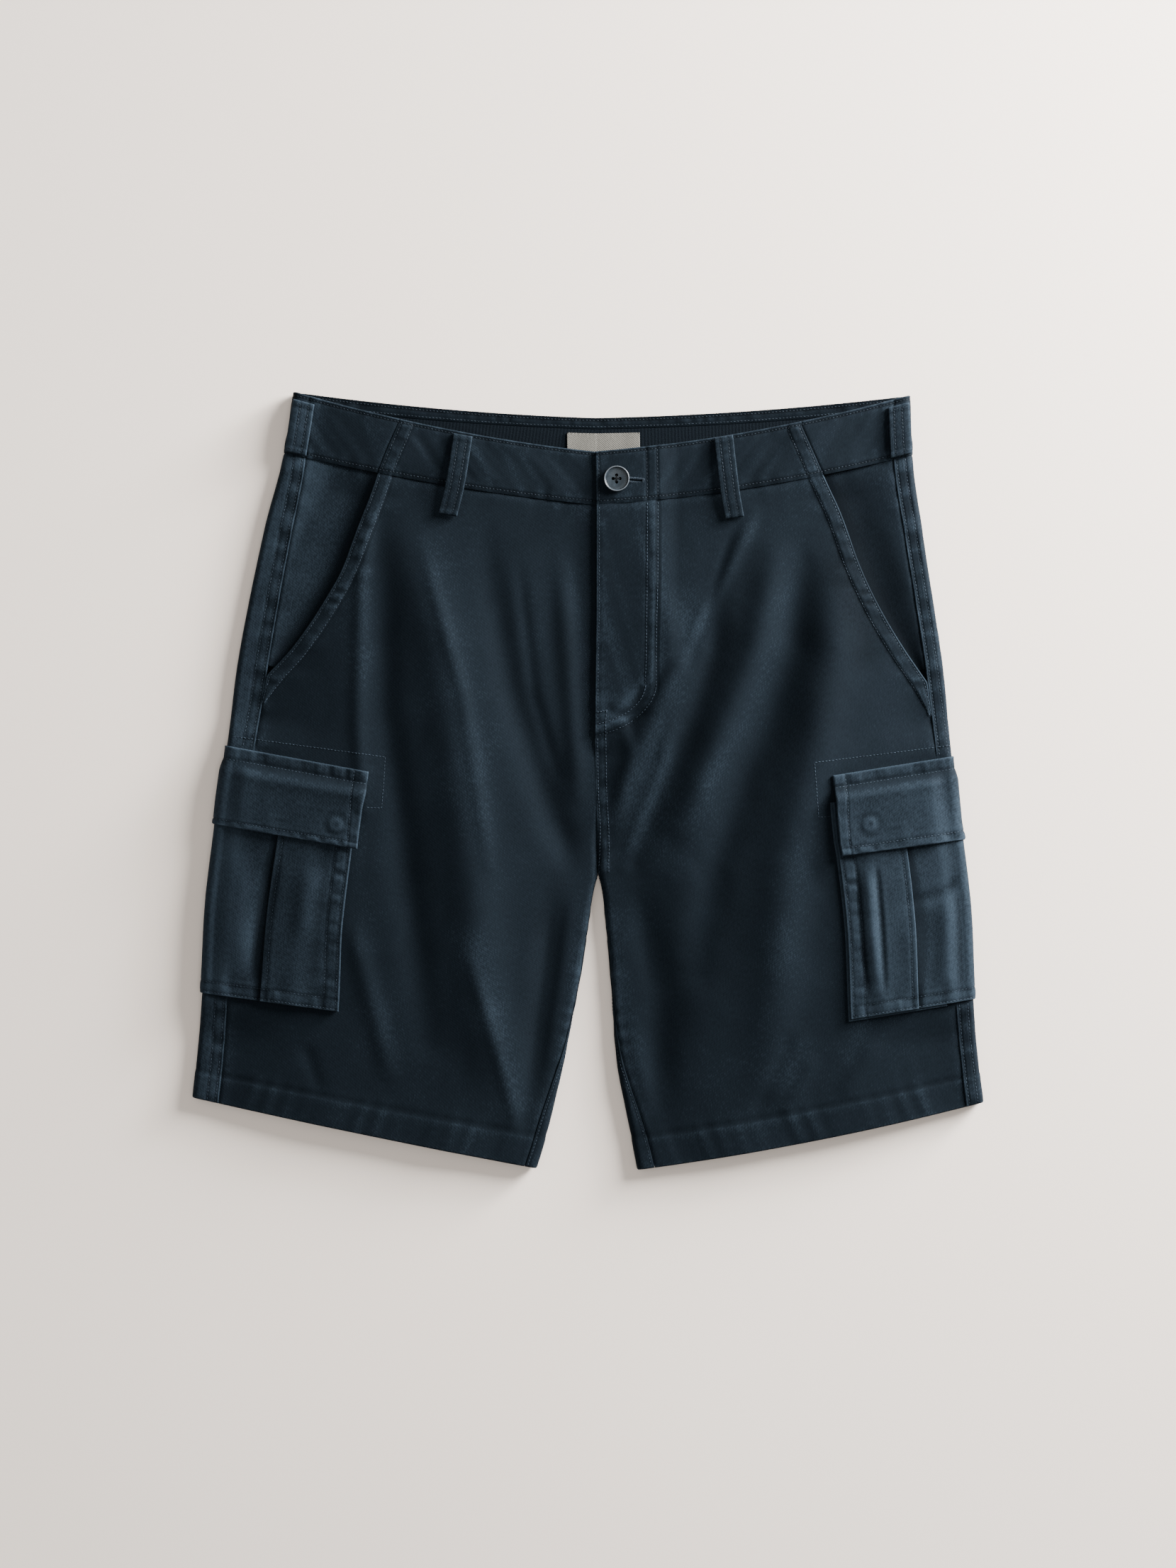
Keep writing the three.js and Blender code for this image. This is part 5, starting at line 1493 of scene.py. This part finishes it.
def prism(name, outline, low, high, out):
    """An upright prism over an outline, stood on the cloth at the button."""
    n = len(outline)
    points = [(x, y, z) for z in (low, high) for x, y in outline]
    faces = [tuple(range(n))[::-1], tuple(range(n, 2 * n))]
    faces += [(k, (k + 1) % n, (k + 1) % n + n, k + n) for k in range(n)]
    return plain_mesh(name, stood(points, out), faces)


def cut_away(made, cutter):
    """Cuts one object's shape out of another for good."""
    bpy.context.scene.collection.objects.link(cutter)
    modifier = made.modifiers.new("cut", "BOOLEAN")
    modifier.object = cutter
    modifier.operation = "DIFFERENCE"
    modifier.solver = "EXACT"
    graph = bpy.context.evaluated_depsgraph_get()
    cut = bpy.data.meshes.new_from_object(made.evaluated_get(graph), depsgraph=graph)
    made.modifiers.clear()
    old, made.data = made.data, cut
    cut.name = old.name
    bpy.data.meshes.remove(old)
    bpy.data.objects.remove(cutter)


def buttonhole(waist):
    """Cuts a keyhole buttonhole, edged with stitches and closed by a bar."""
    eye, slit, long = HOLE["eye"], HOLE["slit"] / 2, HOLE["long"] - HOLE["eye"]
    lean = HOLE["lean"]
    turned = lambda x, y: (x * math.cos(lean) - y * math.sin(lean), x * math.sin(lean) + y * math.cos(lean))
    start = math.asin(slit / eye)
    outline = [(eye * math.cos(a), eye * math.sin(a)) for a in np.linspace(start, 2 * math.pi - start, 28)]
    outline += [(long, -slit), (long, slit)]
    top = button_lift + DOUBLE
    cut_away(waist, prism("cutter", [turned(x, y) for x, y in outline], -6, 6, top))
    up = np.array((0, 0, 1.0))
    edging = Stitching("stitches_buttonhole")
    for turn in (-1, 1):
        for k, x in enumerate(np.arange(3.2, long + 0.4, HOLE["pitch"])):
            ends = [turned(x, turn * (slit - 0.1)), turned(x + 0.1, turn * (slit + HOLE["edge"]))]
            line = np.array([(*end, z) for end, z in zip(ends, (0.0, 0.12))])
            edging.along(stood(line, top) / MM, np.tile(up, (2, 1)), HOLE["edge"], 0.05, 0.52)
    for x in np.arange(long + 0.3, long + 1.9, HOLE["pitch"]):
        ends = [turned(x, -slit - HOLE["edge"]), turned(x, slit + HOLE["edge"])]
        line = np.array([(*end, 0.15) for end in ends])
        edging.along(stood(line, top) / MM, np.tile(up, (2, 1)), 2 * (slit + HOLE["edge"]), 0.05, 0.52)
    edging.make(THREAD)


def button_piece():
    """A dished button with a raised rim and four holes in a diamond, sewn on through them."""
    radius, thick = BUTTON["radius"], BUTTON["thick"]
    dish = thick - BUTTON["rim"]

    def arc(r, z, size, turns):
        return [(r + size * math.cos(a), z + size * math.sin(a)) for a in turns]

    profile = [(0, -button_lift), (1.6, -button_lift), (1.6, 0), (radius - 1.4, 0)]
    profile += arc(radius - 0.7, 0.7, 0.7, np.linspace(-math.pi / 2, 0, 6))
    profile += arc(radius - 0.5, thick - 0.5, 0.5, np.linspace(0, math.pi * 0.85, 10))
    profile += [(radius - 1.15, dish + 0.2), (radius - 1.45, dish - 0.1), (radius - 2.1, dish - 0.05)]
    profile += [(r, dish - 0.35 * (1 - (r / 6) ** 2)) for r in (5.4, 4.4, 3.3, 2.2, 1.1, 0)]
    around = 80
    turns = np.linspace(0, 2 * math.pi, around, endpoint=False)
    points, rings = [], []
    for r, z in profile:
        if r == 0:
            rings.append([len(points)])
            points.append((0, 0, z))
            continue
        rings.append(list(range(len(points), len(points) + around)))
        points += [(r * math.cos(a), r * math.sin(a), z) for a in turns]
    faces = []
    for low, high in zip(rings, rings[1:]):
        for k in range(around):
            n = (k + 1) % around
            spots = [low[k % len(low)], low[n % len(low)], high[n % len(high)], high[k % len(high)]]
            faces.append(tuple(dict.fromkeys(spots)))
    out = button_lift + DOUBLE + GAP
    made = plain_mesh("waist_button", stood(points, out), faces)
    link(made, HORN)
    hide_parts("button")
    made.data.polygons.foreach_set("use_smooth", np.ones(len(made.data.polygons), bool))
    for k in range(4):
        x, y = (BUTTON["hole_at"] * f(k * math.pi / 2) for f in (math.cos, math.sin))
        cut_away(made, prism("cutter", arc(x, y, BUTTON["hole"], turns[::4]), dish - 1.3, thick + 1, out))
    local = (np.array([vertex.co for vertex in made.data.vertices]) / MM - at_button(out)) @ upright_turn()
    from_centre, high = np.hypot(local[:, 0], local[:, 1]), local[:, 2]
    # Rim painted lighter, part rubbed and part painted highlight; the face mid; everything lower, the sides and
    # the walls of the holes, painted near black as shade.
    rubbed_highlight_and_shade = 0.3 * (high > dish - 0.9) + 0.7 * line_of(from_centre - radius + 0.5, 0.35) * (high > dish + 0.2)
    made.data.attributes.new("tone", "FLOAT", "POINT").data.foreach_set("value", rubbed_highlight_and_shade.astype(np.float32))
    made.data.set_sharp_from_angle(angle=math.radians(35))
    strands = Stitching("button_thread")
    for turn in (0, math.pi / 2):
        for shift in (-0.28, 0.28):
            x = np.linspace(-2.5, 2.5, 9)
            z = dish - 0.45 + 0.3 * (1 - (x / 2.5) ** 4) + (0.2 if turn else 0) * line_of(x, 1.2)
            cos, sin = math.cos(turn), math.sin(turn)
            line = np.stack((x * cos - shift * sin, x * sin + shift * cos, z), axis=1)
            strands.along(stood(line, out) / MM, np.tile((0, 0, 1.0), (9, 1)), 4.9, 0.05, 0.45)
    strands.make(THREAD_SHADED)


waist_stitches = Stitching("stitches_waist", 0.62)
for side in SIDES:
    front_piece(side)
    back_piece(side)
    side_piece(side)
    waist_side(side)
    pocket_piece(side)
    gusset_piece(side)
    flap_piece(side)
    panel_stitches(side)
    waist_rows(side)
    cargo_stitches(side)
    start, end = (locate(side, *spot) for spot in FRONT_LOOPS[side])
    loop_piece("loop_front_" + side, side, (max(start[0], 0.5), start[1]), end, LOOP["arch"], 5)
    beside = [(down, LOOP["side_at"]) for down in (LOOP["past"], DOWN["waist_seam"] - 1)]
    loop_piece("loop_side_" + side, side, *beside, LOOP["side_arch"], 8)
waist_back()
facing_piece()
label_piece()
waist_front("right")
buttonhole(waist_front("left"))
button_piece()
waist_stitches.make(THREAD_WAIST_SHADED)


# Stage, light and camera
def stage():
    bpy.ops.mesh.primitive_plane_add(size=6, location=(0, 0, -0.0002))
    floor = bpy.context.object
    floor.name = "floor"
    shader = Shader("floor_paint", 0.9, Specular_IOR_Level=0.2)
    shade = shader.noise(1.2, 2, {"Vector": shader.add("TexCoord").outputs["Object"]})
    shader.join(shader.ramp(shade, ((0.3, (0.87, 0.765, 0.675)), (0.7, (0.90, 0.795, 0.705)))), "Base Color")
    floor.data.materials.append(shader.material)


def area_light(name, place_, target, size, power, colour=(1, 1, 1)):
    data = bpy.data.lights.new(name, "AREA")
    data.shape = "DISK"
    data.size = size
    data.energy = power
    data.color = colour
    lamp = bpy.data.objects.new(name, data)
    bpy.context.scene.collection.objects.link(lamp)
    lamp.location = place_
    lamp.rotation_euler = (Vector(target) - Vector(place_)).to_track_quat("-Z", "Y").to_euler()


PHOTO_SCALE = 0.5 * MM  # metres to a pixel of the photograph
PHOTO_HIGH = 2212
CAMERA_HIGH = 2.5
SENSOR = 36


def camera():
    data = bpy.data.cameras.new("camera")
    data.sensor_width = SENSOR
    data.lens = SENSOR * CAMERA_HIGH / (PHOTO_HIGH * PHOTO_SCALE)
    eye = bpy.data.objects.new("camera", data)
    eye.location = (0, -0.0018, CAMERA_HIGH + 0.005)
    bpy.context.scene.collection.objects.link(eye)
    bpy.context.scene.camera = eye


stage()
area_light("key", (1.65, 1.15, 0.62), (0, 0, 0), 1.3, 290)
area_light("rake", (1.65, 1.15, 0.3), (0, 0, 0), 0.5, 150)
area_light("fill", (-1.6, 0.6, 2.2), (0, 0, 0), 2.2, 13)
area_light("overhead", (0.2, -0.4, 2.9), (0, 0, 0), 1.6, 23)
world = bpy.data.worlds.new("room")
bpy.context.scene.world = world
world.use_nodes = True
world.node_tree.nodes["Background"].inputs["Color"].default_value = (1, 0.985, 0.97, 1)
world.node_tree.nodes["Background"].inputs["Strength"].default_value = 0.335
camera()
